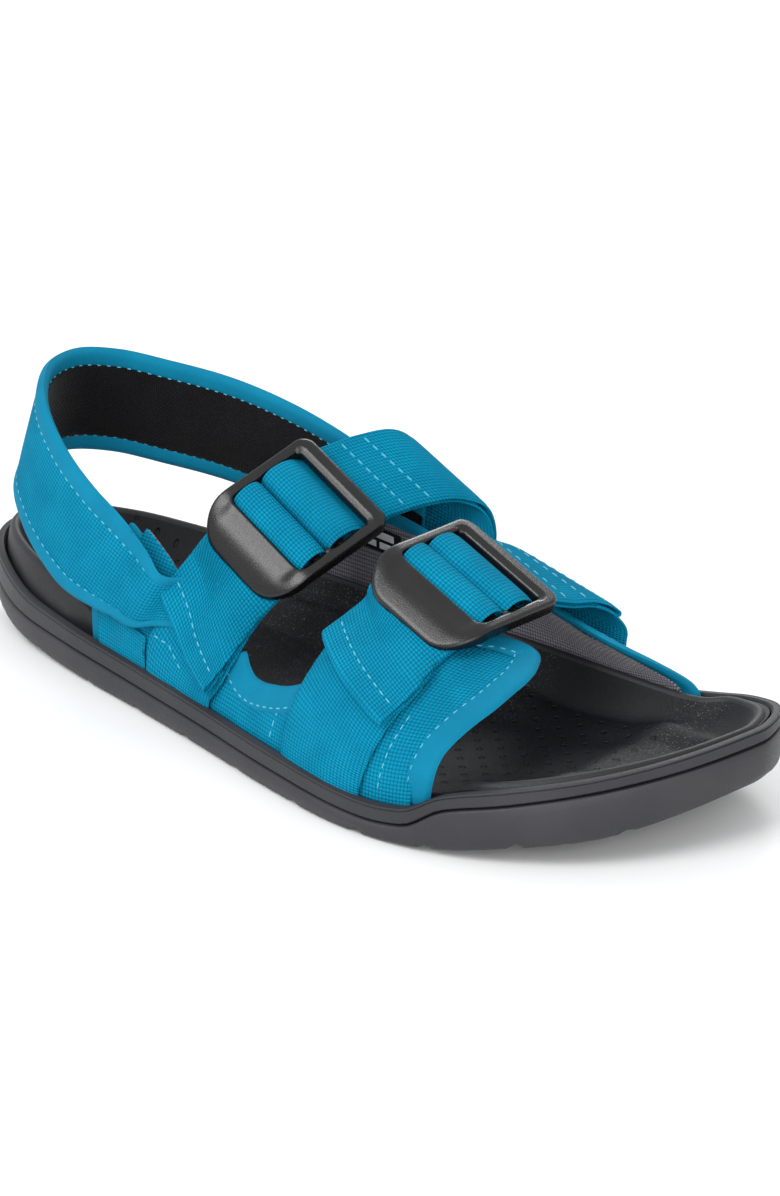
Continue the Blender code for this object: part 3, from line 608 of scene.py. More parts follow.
def piece(name, verts, faces, mat, uv=None, sharp=55):
    """A mesh object from points in millimetres, with UVs in millimetres."""
    mesh = bpy.data.meshes.new(name)
    mesh.from_pydata(((np.array(verts, float) + (0, SHIFT_Y, 0)) * MM).tolist(), [], faces)
    if uv is not None:
        corner = np.zeros(len(mesh.loops), int)
        mesh.loops.foreach_get("vertex_index", corner)
        mesh.uv_layers.new(name="mm").data.foreach_set("uv", np.array(uv, float)[corner].ravel())
    bm = bmesh.new()
    bm.from_mesh(mesh)
    bmesh.ops.recalc_face_normals(bm, faces=bm.faces)
    bm.to_mesh(mesh)
    bm.free()
    mesh.shade_smooth()
    mesh.set_sharp_from_angle(angle=math.radians(sharp))
    mesh.materials.append(mat)
    obj = bpy.data.objects.new(name, mesh)
    bpy.context.scene.collection.objects.link(obj)
    return obj


def normals(grid):
    n = np.cross(np.gradient(grid, axis=0), np.gradient(grid, axis=1))
    return n / np.maximum(np.linalg.norm(n, axis=2), 1e-9)[..., None]


def outward(grid):
    """Normals of a sheet, on the side away from the middle of the foot."""
    n = normals(grid)
    centre = np.stack([grid[..., 0], np.full(grid.shape[:2], 8.0), np.full(grid.shape[:2], 22.0)], 2)
    return n if ((grid - centre) * n).sum() > 0 else -n


def smooth_line(points, count):
    """Cubic resampling of a line of points at even index steps."""
    p = np.array(points, float)
    at = np.linspace(0, len(p) - 1, count)
    i = np.clip(at.astype(int), 0, len(p) - 2)
    t = (at - i).reshape((-1,) + (1,) * (p.ndim - 1))
    before, after = p[np.maximum(i - 1, 0)], p[np.minimum(i + 2, len(p) - 1)]
    return cubic(p[i], p[i + 1], (p[i + 1] - before) / 2, (after - p[i]) / 2, t)


def refine(grid, rows, cols):
    """The same sheet with more rows and columns."""
    tall = smooth_line(grid, rows)
    return np.swapaxes(smooth_line(np.swapaxes(tall, 0, 1), cols), 0, 1)


def panel_uv(grid):
    """UV in millimetres for a side panel: along the foot, and up from the sole in each column."""
    along = np.linalg.norm(np.diff(grid, axis=0), axis=2)
    v = np.concatenate([np.zeros((1, grid.shape[1])), np.cumsum(along, 0)])
    return np.stack([grid[..., 0], v], 2)


def measured(grid):
    """UV in millimetres: across from the middle column, along from the first row."""
    across = np.linalg.norm(np.diff(grid, axis=1), axis=2)
    along = np.linalg.norm(np.diff(grid, axis=0), axis=2)
    u = np.concatenate([np.zeros((len(grid), 1)), np.cumsum(across, 1)], 1)
    middle = grid.shape[1] // 2
    u -= u[:, middle:middle + 1]
    v = np.concatenate([[0], np.cumsum(along[:, middle])])[:, None] + np.zeros_like(u)
    return np.stack([u, v], 2)


def cloth(name, grid, thick, mat, uv=None):
    """Closed cloth on a grid of points: two faces and a rounded rim. thick may vary over it."""
    grid = np.array(grid, float)
    rows, cols = grid.shape[:2]
    n = normals(grid)
    half = np.broadcast_to(np.asarray(thick, float) / 2, (rows, cols))
    uv = measured(grid) if uv is None else uv
    loop = ([(0, c) for c in range(cols)] + [(r, cols - 1) for r in range(1, rows)]
            + [(rows - 1, c) for c in range(cols - 2, -1, -1)] + [(r, 0) for r in range(rows - 2, 0, -1)])
    rim, rim_uv = [], []
    for r, c in loop:
        out = np.zeros(3)
        if r in (0, rows - 1):
            out += unit(grid[r, c] - grid[1 if r == 0 else rows - 2, c])
        if c in (0, cols - 1):
            out += unit(grid[r, c] - grid[r, 1 if c == 0 else cols - 2])
        rim.append(grid[r, c] + unit(out) * half[r, c] * 0.8)
        rim_uv.append(uv[r, c])
    top, low = grid + n * half[..., None], grid - n * half[..., None]
    verts = np.concatenate([top.reshape(-1, 3), low.reshape(-1, 3), rim])
    size = rows * cols
    faces = grid_faces(rows, cols)
    faces += [tuple(size + i for i in face) for face in grid_faces(rows, cols)]
    edge = [r * cols + c for r, c in loop]
    for k in range(len(loop)):
        j = (k + 1) % len(loop)
        faces.append((edge[k], edge[j], 2 * size + j, 2 * size + k))
        faces.append((2 * size + k, 2 * size + j, size + edge[j], size + edge[k]))
    flat_uv = uv.reshape(-1, 2)
    return piece(name, verts, faces, mat, np.concatenate([flat_uv, flat_uv, rim_uv]), 70)


def rounded(cols, power=4.0, low=0.25):
    """Thickness share over the columns of a tape whose two long edges are rounded."""
    u = np.abs(np.linspace(-1, 1, cols))
    return np.maximum((1 - u ** power) ** 0.5, low)


class Stitches:
    """Rows of sewn dashes gathered into one piece."""

    def __init__(self):
        self.verts, self.faces = [], []

    def dash(self, points, up, width, height):
        """One stitch through points, half sunk into the cloth at both ends."""
        points = np.array(points)
        ahead = unit(points[-1] - points[0])
        side = unit(np.cross(ahead, up))
        start = len(self.verts)
        sizes = (0.35, 1.0, 1.0, 0.35)
        drops = (-0.45, 0.0, 0.0, -0.45)
        for point, size, drop in zip(points, sizes, drops):
            for angle in range(0, 360, 60):
                a = math.radians(angle)
                self.verts.append(point + side * math.cos(a) * width / 2 * size
                                  + up * (math.sin(a) * height * size / 2 + drop * height))
        self.faces += tube_faces(start, 3, 6) + [cap(start, 6), cap(start + 18, 6)]

    def run(self, path, up, dash=2.0, gap=1.3, width=0.42, height=0.36, closed_ends=0.0):
        """Dashes along a path of points with their normals."""
        path, up = np.array(path), np.array(up)
        gone = travel(path)
        count = max(int((gone[-1] - closed_ends) / (dash + gap)), 1)
        pitch = (gone[-1] - closed_ends) / count
        for k in range(count):
            at = closed_ends / 2 + k * pitch + gap / 2 + np.array([0.0, 0.25, 0.75, 1.0]) * (pitch - gap)
            points = pick(at, gone, path)
            self.dash(points, unit(pick(at, gone, up).mean(0)), width, height)

    def on(self, grid, rows, cols, lift, **size):
        """Dashes on a sheet along fractional rows and cols; lift is half its thickness."""
        steps = 60
        r = np.interp(np.linspace(0, 1, steps), np.linspace(0, 1, len(rows)), rows)
        c = np.interp(np.linspace(0, 1, steps), np.linspace(0, 1, len(cols)), cols)
        n = outward(grid)
        points, up = sample(grid, r, c), sample(n, r, c)
        self.run(points + up * lift, up, **size)

    def make(self, name, slot="webbing"):
        return piece(name, self.verts, self.faces, THREAD, None, 60)


def sample(grid, r, c):
    """Values of a grid at fractional rows and columns given as shares 0..1."""
    rows, cols = grid.shape[:2]
    r, c = np.clip(r, 0, 1) * (rows - 1), np.clip(c, 0, 1) * (cols - 1)
    i, j = np.minimum(r.astype(int), rows - 2), np.minimum(c.astype(int), cols - 2)
    s, t = (r - i)[:, None], (c - j)[:, None]
    return (grid[i, j] * (1 - s) * (1 - t) + grid[i + 1, j] * s * (1 - t)
            + grid[i, j + 1] * (1 - s) * t + grid[i + 1, j + 1] * s * t)


def put(obj, body, *nodes):
    """obj rides on a body and stands for the given CAD nodes."""
    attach(obj, body)
    if nodes:
        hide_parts(*nodes)
    return obj


# ---------------------------------------------------------------- sole

FINE = 132               # steps from heel to toe in the visual sole


def fine_ring():
    """Outline, spine, side share and inward direction at FINE steps, eased from sole_ring."""
    coarse = sole_ring()
    closed = [np.concatenate([part[-1:], part, part[:2]]) for part in coarse]
    count = 2 * RING_POINTS
    at = np.linspace(0, count, 2 * FINE, endpoint=False) + 1
    i = at.astype(int)
    t = at - i
    fine = []
    for part in closed:
        after = part[np.minimum(i + 2, len(part) - 1)]
        fine.append(cubic(part[i], part[i + 1], (part[i + 1] - part[i - 1]) / 2, (after - part[i]) / 2,
                          t.reshape((-1,) + (1,) * (part.ndim - 1))))
    fine[3] /= np.linalg.norm(fine[3], axis=1)[:, None]
    return fine


RING = fine_ring()


def ring(inset, share, height):
    """One fine ring: inset from the edge, share of the way to the spine, at height(x, y, side)."""
    edge, centre, side, inward = RING
    depth = np.array([inset(x, s) if callable(inset) else inset for (x, _), s in zip(edge, side)])
    flat = edge + inward * depth[:, None]
    flat = flat + (centre - flat) * share
    towards = side + (0.5 - side) * share
    return [(x, y, height(x, y, s)) for (x, y), s in zip(flat, towards)]


def ring_piece(name, rings, mat):
    verts = np.concatenate([np.array(r) for r in rings])
    return piece(name, verts, tube_faces(0, len(rings) - 1, 2 * FINE), mat, None, 38)


def lifted(stations, lift=0.0):
    value = smooth(stations)
    return lambda x, y, side: value(x) + lift


def sided(lateral, medial, lift=0.0):
    low, high = smooth(lateral), smooth(medial)
    return lambda x, y, side: low(x) + (high(x) - low(x)) * ease(side, 0, 1) + lift


def between(low, high, share):
    return lambda x, y, side: low(x, y, side) + (high(x, y, side) - low(x, y, side)) * share


def weld(obj):
    bm = bmesh.new()
    bm.from_mesh(obj.data)
    bmesh.ops.remove_doubles(bm, verts=bm.verts, dist=0.00004)
    bmesh.ops.recalc_face_normals(bm, faces=bm.faces)
    bm.to_mesh(obj.data)
    bm.free()
    return obj


LUG_PITCH = 13.0         # spacing of the tread blocks
NOTCH_PITCH = 25.0       # spacing of the steps in the tread's edge


def tread_notch(x, y, side):
    """Depth of the siped tread at the bottom edge."""
    wave = abs(math.sin(math.pi * (x + 0.2 * y + 4) / NOTCH_PITCH))
    return 1.1 * (1 - ease(wave, 0.09, 0.2))


def sole_pieces():
    ground, groove = lifted(BOTTOM), lifted(GROOVE)
    wall_low, wall_high = lifted(BOTTOM, 2.4), lifted(GROOVE, -0.9)
    notched = lambda lift: (lambda x, y, side: ground(x, y, side) + lift + tread_notch(x, y, side))
    rings = [ring(0, 1, lifted(BOTTOM, 1.4)), ring(9, 0.6, lifted(BOTTOM, 1.4)),
             ring(9.5, 0, lifted(BOTTOM, 1.4)), ring(8.9, 0, notched(0.1)), ring(8.4, 0, notched(0.0)),
             ring(5.0, 0, notched(0.0)), ring(1.9, 0, notched(0.0)), ring(1.1, 0, notched(0.25)),
             ring(0.5, 0, notched(0.9)), ring(0.15, 0, lifted(BOTTOM, 1.9)), ring(0.0, 0, wall_low)]
    for share in (0.2, 0.4, 0.6, 0.8, 1.0):
        belly = 0.35 * math.sin(share * math.pi)
        rings.append(ring(-belly, 0, between(wall_low, wall_high, share)))
    rings += [ring(0.25, 0, lifted(GROOVE, -0.45)), ring(0.8, 0, lifted(GROOVE, -0.15)),
              ring(WALL, 0, groove), ring(WALL + 0.4, 0, lifted(BOTTOM, TREAD)),
              ring(9, 0.5, lifted(BOTTOM, TREAD)), ring(0, 1, lifted(BOTTOM, TREAD))]
    put(weld(ring_piece("outsole_wall", rings, RUBBER)), SOLE, "outsole")

    under = lifted(BOTTOM, TREAD + GAP)
    band, floor = sided(BAND_LATERAL, BAND_MEDIAL), lifted(MID_FLOOR)
    low = lifted(GROOVE, 0.9)
    rings = [ring(0, 1, under), ring(9, 0.5, under), ring(WALL + 0.9, 0, under),
             ring(WALL + 0.5, 0, lifted(GROOVE, GAP)), ring(1.1, 0, lifted(GROOVE, 0.35)),
             ring(0.5, 0, lifted(GROOVE, 0.5)), ring(0.15, 0, low)]
    for share in (0.15, 0.3, 0.45, 0.6, 0.72):
        rings.append(ring(0.15 + 0.1 * share, 0, between(low, band, share)))
    rings += [ring(0.55, 0, between(low, band, 0.76)), ring(0.6, 0, between(low, band, 0.8)),
              ring(0.3, 0, between(low, band, 0.84)), ring(0.45, 0, between(low, band, 0.93)),
              ring(0.8, 0, sided(BAND_LATERAL, BAND_MEDIAL, -0.35)), ring(1.5, 0, band), ring(2.5, 0, band),
              ring(3.1, 0, sided(BAND_LATERAL, BAND_MEDIAL, -0.8)), ring(3.2, 0, floor),
              ring(9, 0.5, floor), ring(0, 1, floor)]
    put(weld(ring_piece("midsole_band", rings, FOAM)), SOLE, "midsole")

    put(footbed_rim(), SOLE)
    put(footbed_top(), SOLE, "footbed")
    tread_lugs()


def bed_inset(x, side):
    return 3.6 + 3.0 * upper_span(x, side)


rim_height = sided(RIM_LATERAL, RIM_MEDIAL)
ARCH = sided([(-142, 19), (-60, 17), (0, 16), (60, 12.5), (142, 25)],
             [(-142, 19), (-70, 20), (-20, 23), (30, 19), (70, 13), (142, 25)])
bed_value = smooth(BED)


def bed_detail(x, y):
    """Moulded relief of the footbed: toe crest, toe basin edge, heel cup line, ball line."""
    crest = 2.2 * math.exp(-((x - 101 - 0.004 * (y - 4) ** 2) / 7.0) ** 2) * (1 - ease(abs(y - 2), 26, 36))
    basin = -0.7 * ease(x + 0.004 * (y - 4) ** 2, 108, 114)
    step = 0.5 * ease(x - 0.010 * y * y, 44, 45.6)
    heel = 0.45 * ease(-x - 0.006 * y * y, 58, 59.4)
    return crest + basin - step - heel


def footbed_rim():
    under, band = lifted(MID_FLOOR, GAP), sided(BAND_LATERAL, BAND_MEDIAL, -0.6)
    rings = [ring(0, 1, under), ring(9, 0.5, under), ring(bed_inset, 0, under), ring(bed_inset, 0, band)]
    steps = ((1.2, -1.2), (1.7, -0.6), (2.1, -0.2), (2.6, 0.0), (3.2, -0.05), (3.8, -0.45), (4.3, -1.1))
    for inset, drop in steps:
        rings.append(ring(lambda x, s, i=inset: bed_inset(x, s) + i, 0,
                          lambda x, y, s, d=drop: rim_height(x, y, s) + d))
    rings += [ring(13.5, 0, lambda x, y, s: ARCH(x, y, s) - 1), ring(13.5, 0, lifted(BED, -1.5)),
              ring(19, 0.5, lifted(BED, -1.5)), ring(0, 1, lifted(BED, -1.5))]
    return weld(ring_piece("footbed_rim", rings, RIM))


def footbed_top():
    def curve_up(share):
        return lambda x, y, s: ((rim_height(x, y, s) - 1.1) * (1 - share) ** 2
                                + 2 * share * (1 - share) * (ARCH(x, y, s) - 1.0)
                                + share ** 2 * ARCH(x, y, s) + bed_detail(x, y) * ease(share, 0.5, 1))
    rings = []
    for share in np.linspace(0, 1, 9):
        rings.append(ring(lambda x, s, k=share: (bed_inset(x, s) + 4.3) * (1 - k) + 19 * k, 0,
                          curve_up(share)))
    for share in np.linspace(0.06, 1, 22):
        fade = ease(share, 0, 0.5)
        rings.append(ring(19, share, lambda x, y, s, f=fade: ARCH(x, y, s) * (1 - f) + bed_value(x) * f
                          + bed_detail(x, y)))
    return weld(ring_piece("footbed_top", rings, BED_FOAM))


def tread_lugs():
    """Hexagonal tread blocks under the sole, down to the ground."""
    ground = smooth(BOTTOM)
    verts, faces = [], []
    for i in range(-9, 10):
        for j in range(-4, 5):
            x, y = i * LUG_PITCH, (j + 0.5 * (i % 2)) * LUG_PITCH * 0.82
            if not (edge_lat(x) + 16 < y < edge_med(x) - 16) or abs(x) > 122:
                continue
            start = len(verts)
            for radius, lift in ((5.9, 1.6), (5.6, 0.5), (5.1, 0.05)):
                for k in range(6):
                    a = math.radians(60 * k + 30)
                    px, py = x + radius * math.cos(a), y + radius * math.sin(a)
                    verts.append((px, py, ground(px) + lift))
            faces += tube_faces(start, 2, 6) + [cap(start, 6), cap(start + 12, 6)]
    put(piece("outsole_lugs", verts, faces, RUBBER, None, 30), SOLE)


# ---------------------------------------------------------------- sewn upper

PANEL_ROWS, PANEL_COLS = 34, 120
TAPE_WIDTH, REAR_TAPE_WIDTH, TAPE_COLS = 8.4, 8.0, 13
TAPE_STITCH = 0.84       # share of the tape's width where it is sewn down
TAPE_RISE = 0.044        # the tape's outer edge over the canvas, as height share
SEAMS = ((19.5, 22.0, 0.085), (63.5, 14.0, 0.2))     # x at the sole, slope, top as height share


def side_pieces(side, rear, front, top, medial):
    """Canvas, lining, edge tapes and their stitching on one side."""
    rows, cols = PANEL_ROWS, PANEL_COLS
    canvas = refine(patch_grid(rear, front, INTO_SOLE, top, CANVAS_LIFT, medial, 40, 10), rows, cols)
    put(cloth(side + "_canvas", canvas, PLY, CANVAS, panel_uv(canvas)), SOLE, side + "_panel")
    inner = refine(patch_grid(rear, front, INTO_SOLE, top, LINING_LIFT - 0.1, medial, 40, 10), rows, cols)
    knitted = cloth(side + "_knit", inner, LINING_THICK, LINING, panel_uv(inner))
    put(knitted, SOLE, side + "_lining")
    last, first = top[-1][1], top[0][1]

    thread = Stitches()

    def tape(name, outer, width, rows, turn, sewn, *nodes):
        grid = edge_tape(outer, width, medial, rows, turn)
        thick = BINDING_THICK * rounded(TAPE_COLS, 5.0)[None, :] * np.ones((rows, 1))
        put(cloth(side + name, grid, thick, BINDING), SOLE, *nodes)
        thread.on(grid, sewn, [TAPE_STITCH, TAPE_STITCH], BINDING_THICK / 2 * 0.92)

    rear_x, front_x, top_t = smooth(rear), smooth(front), smooth(top)
    start = 0.05 if medial else 0.40
    outer = [(front_x(max(t, 0)) + BINDING_WIDTH, t) for t in np.linspace(-0.03, last - 0.045, 12)]
    corner_x = front_x(last) + BINDING_WIDTH
    outer += [(corner_x - 1.2, last + 0.003), (corner_x - 6, last + 0.035)]
    for u in np.linspace(0.9, start, 16 if medial else 14):
        t = top_t(u) + TAPE_RISE
        outer.append((rear_x(t) + (front_x(t) - rear_x(t)) * u, t))
    tape("_binding", outer, TAPE_WIDTH, 230, -1, [0.03, 0.985], side + "_binding_front",
         side + "_binding_top")
    outer = [(rear_x(max(t, 0)) - BINDING_WIDTH, t) for t in np.linspace(-0.03, first - 0.01, 10)]
    tape("_binding_rear_tape", outer, REAR_TAPE_WIDTH, 60, 1, [0.1, 0.96], side + "_binding_rear")
    put(thread.make(side + "_edge_stitches", "binding"), SOLE)
    seam = Stitches()
    for start_x, slope, top_share in SEAMS:
        shares = np.linspace(0.015, top_share, 50)
        spots = [(start_x + slope * t, 1 - t if medial else t) for t in shares]
        low = np.array([on_form(x, t, CANVAS_LIFT + PLY / 2 + 0.02) for x, t in spots])
        high = np.array([on_form(x, t, CANVAS_LIFT + PLY / 2 + 1.02) for x, t in spots])
        seam.run(low, high - low, 1.7, 1.0, 0.36, 0.3)
    put(seam.make(side + "_seam_stitches", "canvas"), SOLE)
    return canvas


def edge_tape(outline, width, medial, rows, turn):
    """Tape lying on the form inward of an outline of (x, t) points."""
    path = np.array([on_form(x, 1 - t if medial else t, BINDING_LIFT) for x, t in outline])
    lifted_path = np.array([on_form(x, 1 - t if medial else t, BINDING_LIFT + 1) for x, t in outline])
    both = spline(np.concatenate([path, (lifted_path - path) * 4], 1), rows)
    path, up = both[:, :3], both[:, 3:]
    ahead = np.gradient(path, axis=0)
    inward = np.cross(up, ahead) * turn * (1 if medial else -1)
    inward /= np.linalg.norm(inward, axis=1)[:, None]
    return path[:, None] + inward[:, None] * np.linspace(0, width, TAPE_COLS)[None, :, None]


# Plain pale blocks of the sewn label: column from and to, row from and to, as shares.
LABEL_BLOCKS = ((0.10, 0.34, 0.16, 0.40), (0.40, 0.62, 0.16, 0.40), (0.68, 0.90, 0.16, 0.40),
                (0.10, 0.52, 0.58, 0.70), (0.10, 0.44, 0.80, 0.87), (0.62, 0.90, 0.56, 0.86))


def label_piece():
    grid = patch_grid([(0, -25), (1, -25)], [(0, -1), (1, -1)], [(0, 0.125), (1, 0.125)],
                      [(0, 0.195), (1, 0.195)], -0.35, True, 12, 6)
    grid = refine(grid, 14, 30)
    put(cloth("woven_label_tape", grid, 0.4, LABEL), SOLE, "woven_label")
    n = -outward(grid)
    for i, (c0, c1, r0, r1) in enumerate(LABEL_BLOCKS):
        r, c = np.meshgrid(np.linspace(r0, r1, 5), np.linspace(c0, c1, 9), indexing="ij")
        patch = (sample(grid, r.ravel(), c.ravel()) + sample(n, r.ravel(), c.ravel()) * 0.3)
        put(cloth("woven_label_patch_%d" % i, patch.reshape(5, 9, 3), 0.25, PATCH), SOLE)


# ---------------------------------------------------------------- webbing

def web_profile(rows, cols):
    return WEB_THICK * rounded(cols, 10.0, 0.45)[None, :] * np.ones((rows, 1))


def folded_end(grid, length, side, radius=0.72):
    """The sheet with its last rows turned under and laid back along it for length."""
    along = np.linalg.norm(np.diff(grid[:, grid.shape[1] // 2], axis=0), axis=1)
    n = outward(grid) * side
    rows, gone, k = [], 0.0, len(grid) - 1
    tip = grid[-1]
    ahead = grid[-1] - grid[-2]
    ahead /= np.linalg.norm(ahead, axis=1)[:, None]
    for a in np.linspace(0, math.pi, 9)[1:]:
        rows.append(tip + ahead * radius * math.sin(a) * 1.2 + n[-1] * radius * (1 - math.cos(a)))
    while gone < length and k > 1:
        gone += along[k - 1]
        k -= 1
        rows.append(grid[k] + n[k] * 2 * radius)
    return np.concatenate([grid, rows])


# Webbing paths in the buckle, as (y, z) from the fixed bar: two broad soft rolls.
NEAR_ROLL = [(1.0, -3.6), (3.0, -1.9), (3.5, 0.2), (2.6, 2.3), (0.2, 3.4), (-2.6, 3.2), (-4.9, 1.9),
             (-5.75, 0.1), (-5.95, -1.6), (-7.0, -3.2), (-9.6, -4.3)]
FAR_ROLL = [(STRAP_SPLIT_Y, -3.2), (23.5, -3.1), (20.2, -2.9), (18.2, -1.5), (16.6, 0.6), (14.0, 2.5),
            (11.0, 3.5), (8.0, 3.5), (5.7, 2.2), (5.0, 0.2), (5.4, -1.8), (7.4, -3.5), (11.0, -4.4),
            (16.0, -4.9), (21.0, -5.0), (STRAP_SPLIT_Y, -5.0)]


def tab_piece(which, base_x, climb, rise, hem_t, dip, tilt):
    """Webbing from the sole round the fixed bar and back to its turned-under hem."""
    lower = [at_rim(base_x, TAB_LIFT, -2.0)]
    lower += [at_form(base_x + climb * t, t, TAB_LIFT, tilt) for t in rise]
    around = [(BUCKLE_LIP, dip - 1.55), (-9.0, -5.8), (-4.0, -4.7)] + NEAR_ROLL + [(BUCKLE_LIP, dip)]
    shares = [t for t in rise[::-1] if t > hem_t + 0.02] + [hem_t]
    hem_lift = TAB_TOP_LIFT + 2.7
    upper = [at_form(base_x + climb * t, t, hem_lift if t == hem_t else TAB_TOP_LIFT + 1.1, tilt)
             for t in shares]
    stops = lower + [at_buckle(which, y, z) for y, z in around] + upper
    web = refine(web_grid(stops, 150, 7), 300, 15)
    hem_rows = 30
    upper_part = folded_end(web[-hem_rows * 2:], 9.0, -1, 0.95)
    grid = np.concatenate([web[:-hem_rows * 2], upper_part])
    put(cloth(which + "_tab_web", grid, web_profile(len(grid), 15), WEB), SOLE, which + "_tab")
    thread = Stitches()
    flat = web[-70:]
    length = travel(flat[:, 7])[-1]
    thread.on(flat, [1 - 5.0 / length] * 2, [0.05, 0.95], WEB_THICK / 2 + 0.1)
    low = web[:60, ::-1]
    reach = travel(low[:, 7])[-1]
    if which == "rear":
        thread.on(low, [7.5 / reach, 9.5 / reach, 8.0 / reach], [0.96, 0.75, 0.5], WEB_THICK / 2 + 0.05)
    put(thread.make(which + "_tab_stitches"), SOLE)
    return web


def strap_piece(which, tail_rows, nodes):
    """Webbing from the medial rim up to the buckle, round the slide bar and back as the tail."""
    stops = [at_buckle(which, STRAP_SPLIT_Y + 1.2, -5.0)]
    stops += [at_free(centre, wide) for centre, wide in STRAP_PATH[which]]
    stops.append(at_rim(STRAP_BASE[which], TAB_LIFT + 1.2, -2.5, True))
    load = web_grid(stops, 30, 7)
    turn = web_grid([at_buckle(which, y, z) for y, z in FAR_ROLL], 90, 7)
    tail = (load - normals(load) * TAIL_LAYER)[:tail_rows]
    route = np.concatenate([load[::-1], turn[-2:0:-1], tail])
    whole = refine_even(route, 360, 15)
    fold = folded_end(whole[-40:], 8.0, -1)
    grid = np.concatenate([whole[:-40], fold])
    bar, along, across, up = buckle_axes(which)

    def bend(obj):
        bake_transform(obj)
        return obj

    web = bend(cloth(which + "_strap_web", grid, web_profile(len(grid), 15), WEB))
    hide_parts(*nodes)
    thread = Stitches()
    flat = refine_even(tail, 120, 15)
    length = travel(flat[:, 7])[-1]
    half = WEB_THICK / 2 + 0.05
    for gone in (5.5, 13.0, length - 5.0):
        thread.on(flat, [gone / length] * 2, [0.04, 0.96], half)
    bend(thread.make(which + "_strap_stitches"))
    return grid


def refine_even(grid, rows, cols):
    """Rows evenly spaced by the middle column's length, smoothed, with more columns."""
    middle = grid.shape[1] // 2
    gone = travel(grid[:, middle])
    at = np.interp(np.linspace(0, gone[-1], rows), gone, np.arange(len(grid)))
    dense = smooth_line(grid, (len(grid) - 1) * 6 + 1)
    flat = np.stack([pick(at * 6, np.arange(len(dense)), dense[:, c]) for c in range(grid.shape[1])], 1)
    return np.swapaxes(smooth_line(np.swapaxes(flat, 0, 1), cols), 0, 1)


# ---------------------------------------------------------------- buckles

def rounded_box(x0, x1, y0, y1, radii, straight, corner):
    """Closed outline of a box with its own radius at each corner, from low x, low y round."""
    corners = ((x0, y0, 180), (x1, y0, 270), (x1, y1, 0), (x0, y1, 90))
    points = []
    for k, (x, y, start) in enumerate(corners):
        r = radii[k]
        cx, cy = x + (r if x == x0 else -r), y + (r if y == y0 else -r)
        turns = [math.radians(start + 90 * t) for t in np.linspace(0, 1, corner)]
        arc = [(cx + r * math.cos(a), cy + r * math.sin(a)) for a in turns]
        nx, ny, nstart = corners[(k + 1) % 4]
        nr = radii[(k + 1) % 4]
        ncx, ncy = nx + (nr if nx == x0 else -nr), ny + (nr if ny == y0 else -nr)
        first = (ncx + nr * math.cos(math.radians(nstart)), ncy + nr * math.sin(math.radians(nstart)))
        points += arc
        for t in np.linspace(0, 1, straight + 2)[1:-1]:
            points.append(tuple(np.array(arc[-1]) * (1 - t) + np.array(first) * t))
    return np.array(points)


def frame_height(y):
    """Half thickness of the frame at a distance from the fixed bar."""
    return float(np.interp(y, (BUCKLE_LIP, -14, -10, -6.5, 0, 19, 22, BUCKLE_FAR),
                           (1.0, 1.5, 1.95, 2.25, 2.3, 2.35, 2.4, 2.1)))


RAIL_SPARE, LIP_SPARE, FAR_SPARE = 0.9, 2.4, 0.8     # moulded edges past the solid's
LIP_CORNER, FAR_CORNER = 11.5, 4.4
EDGE_STEPS, CORNER_STEPS = 22, 14


def buckle_piece(which):
    """Moulded frame of rounded section, with both bars, the inner ledge and the rail nub."""
    half = BUCKLE_WIDTH / 2
    wide, slot = half + RAIL_SPARE, WINDOW_WIDTH / 2
    outer = rounded_box(-wide, wide, BUCKLE_LIP - LIP_SPARE, BUCKLE_FAR + FAR_SPARE,
                        (LIP_CORNER, LIP_CORNER, FAR_CORNER, FAR_CORNER), EDGE_STEPS, CORNER_STEPS)
    inner = rounded_box(-slot, slot, WINDOW[0], WINDOW[1], (2, 2, 1.6, 1.6), EDGE_STEPS, CORNER_STEPS)
    verts, n = [], 0
    for o, i in zip(outer, inner):
        reach = np.linalg.norm(o - i)
        way = (o - i) / reach
        loop = []
        for face in (1, -1):
            r = 1.1 if face > 0 else 0.9
            angles = np.linspace(0, 90, 5)
            distances = [r * (1 - math.cos(math.radians(a))) for a in angles]
            lifts = [1 - r / 2.0 * (1 - math.sin(math.radians(a))) for a in angles]
            middle = np.linspace(r, reach - r, 6)[1:-1]
            row = (list(zip(distances, lifts)) + [(m, 1.0) for m in middle]
                   + [(reach - d, l) for d, l in zip(distances[::-1], lifts[::-1])])
            loop += [(d, l * face) for d, l in (row if face > 0 else row[::-1])]
        n = len(loop)
        for d, l in loop:
            x, y = i + way * d
            z = lip_drop(y) + l * frame_height(y)
            if l > 0 and y < WINDOW[0]:
                z -= 0.9 * math.exp(-((y - WINDOW[0] + 3.2) / 2.6) ** 2) * (1 - ease(abs(x), 13, 17))
            if l > 0 and y > WINDOW[1] - 1 and d < 1.6:
                z -= 0.7 * (1 - ease(d, 1.1, 1.6))
            verts.append(in_buckle(which, x, y, z))
    count = len(outer)
    faces = [(a * n + c, a * n + (c + 1) % n, ((a + 1) % count) * n + (c + 1) % n, ((a + 1) % count) * n + c)
             for a in range(count) for c in range(n)]
    for y, radius in ((0.0, BAR_RADIUS), (SLIDE_BAR_Y, BAR_RADIUS)):
        add_rod(verts, faces, which, y, radius, WINDOW_WIDTH / 2 + 1.2)
    add_nub(verts, faces, which)
    put(piece(which + "_buckle_frame", verts, faces, PLASTIC, None, 50),
        which + "_buckle", which + "_buckle")


def add_rod(verts, faces, which, y, radius, reach):
    """A bar of the buckle, from rail to rail."""
    start, sides = len(verts), 24
    for x in (-reach, reach):
        for k in range(sides):
            a = 2 * math.pi * k / sides
            verts.append(in_buckle(which, x, y + radius * math.cos(a), radius * math.sin(a)))
    faces += tube_faces(start, 1, sides) + [cap(start, sides), cap(start + sides, sides)]


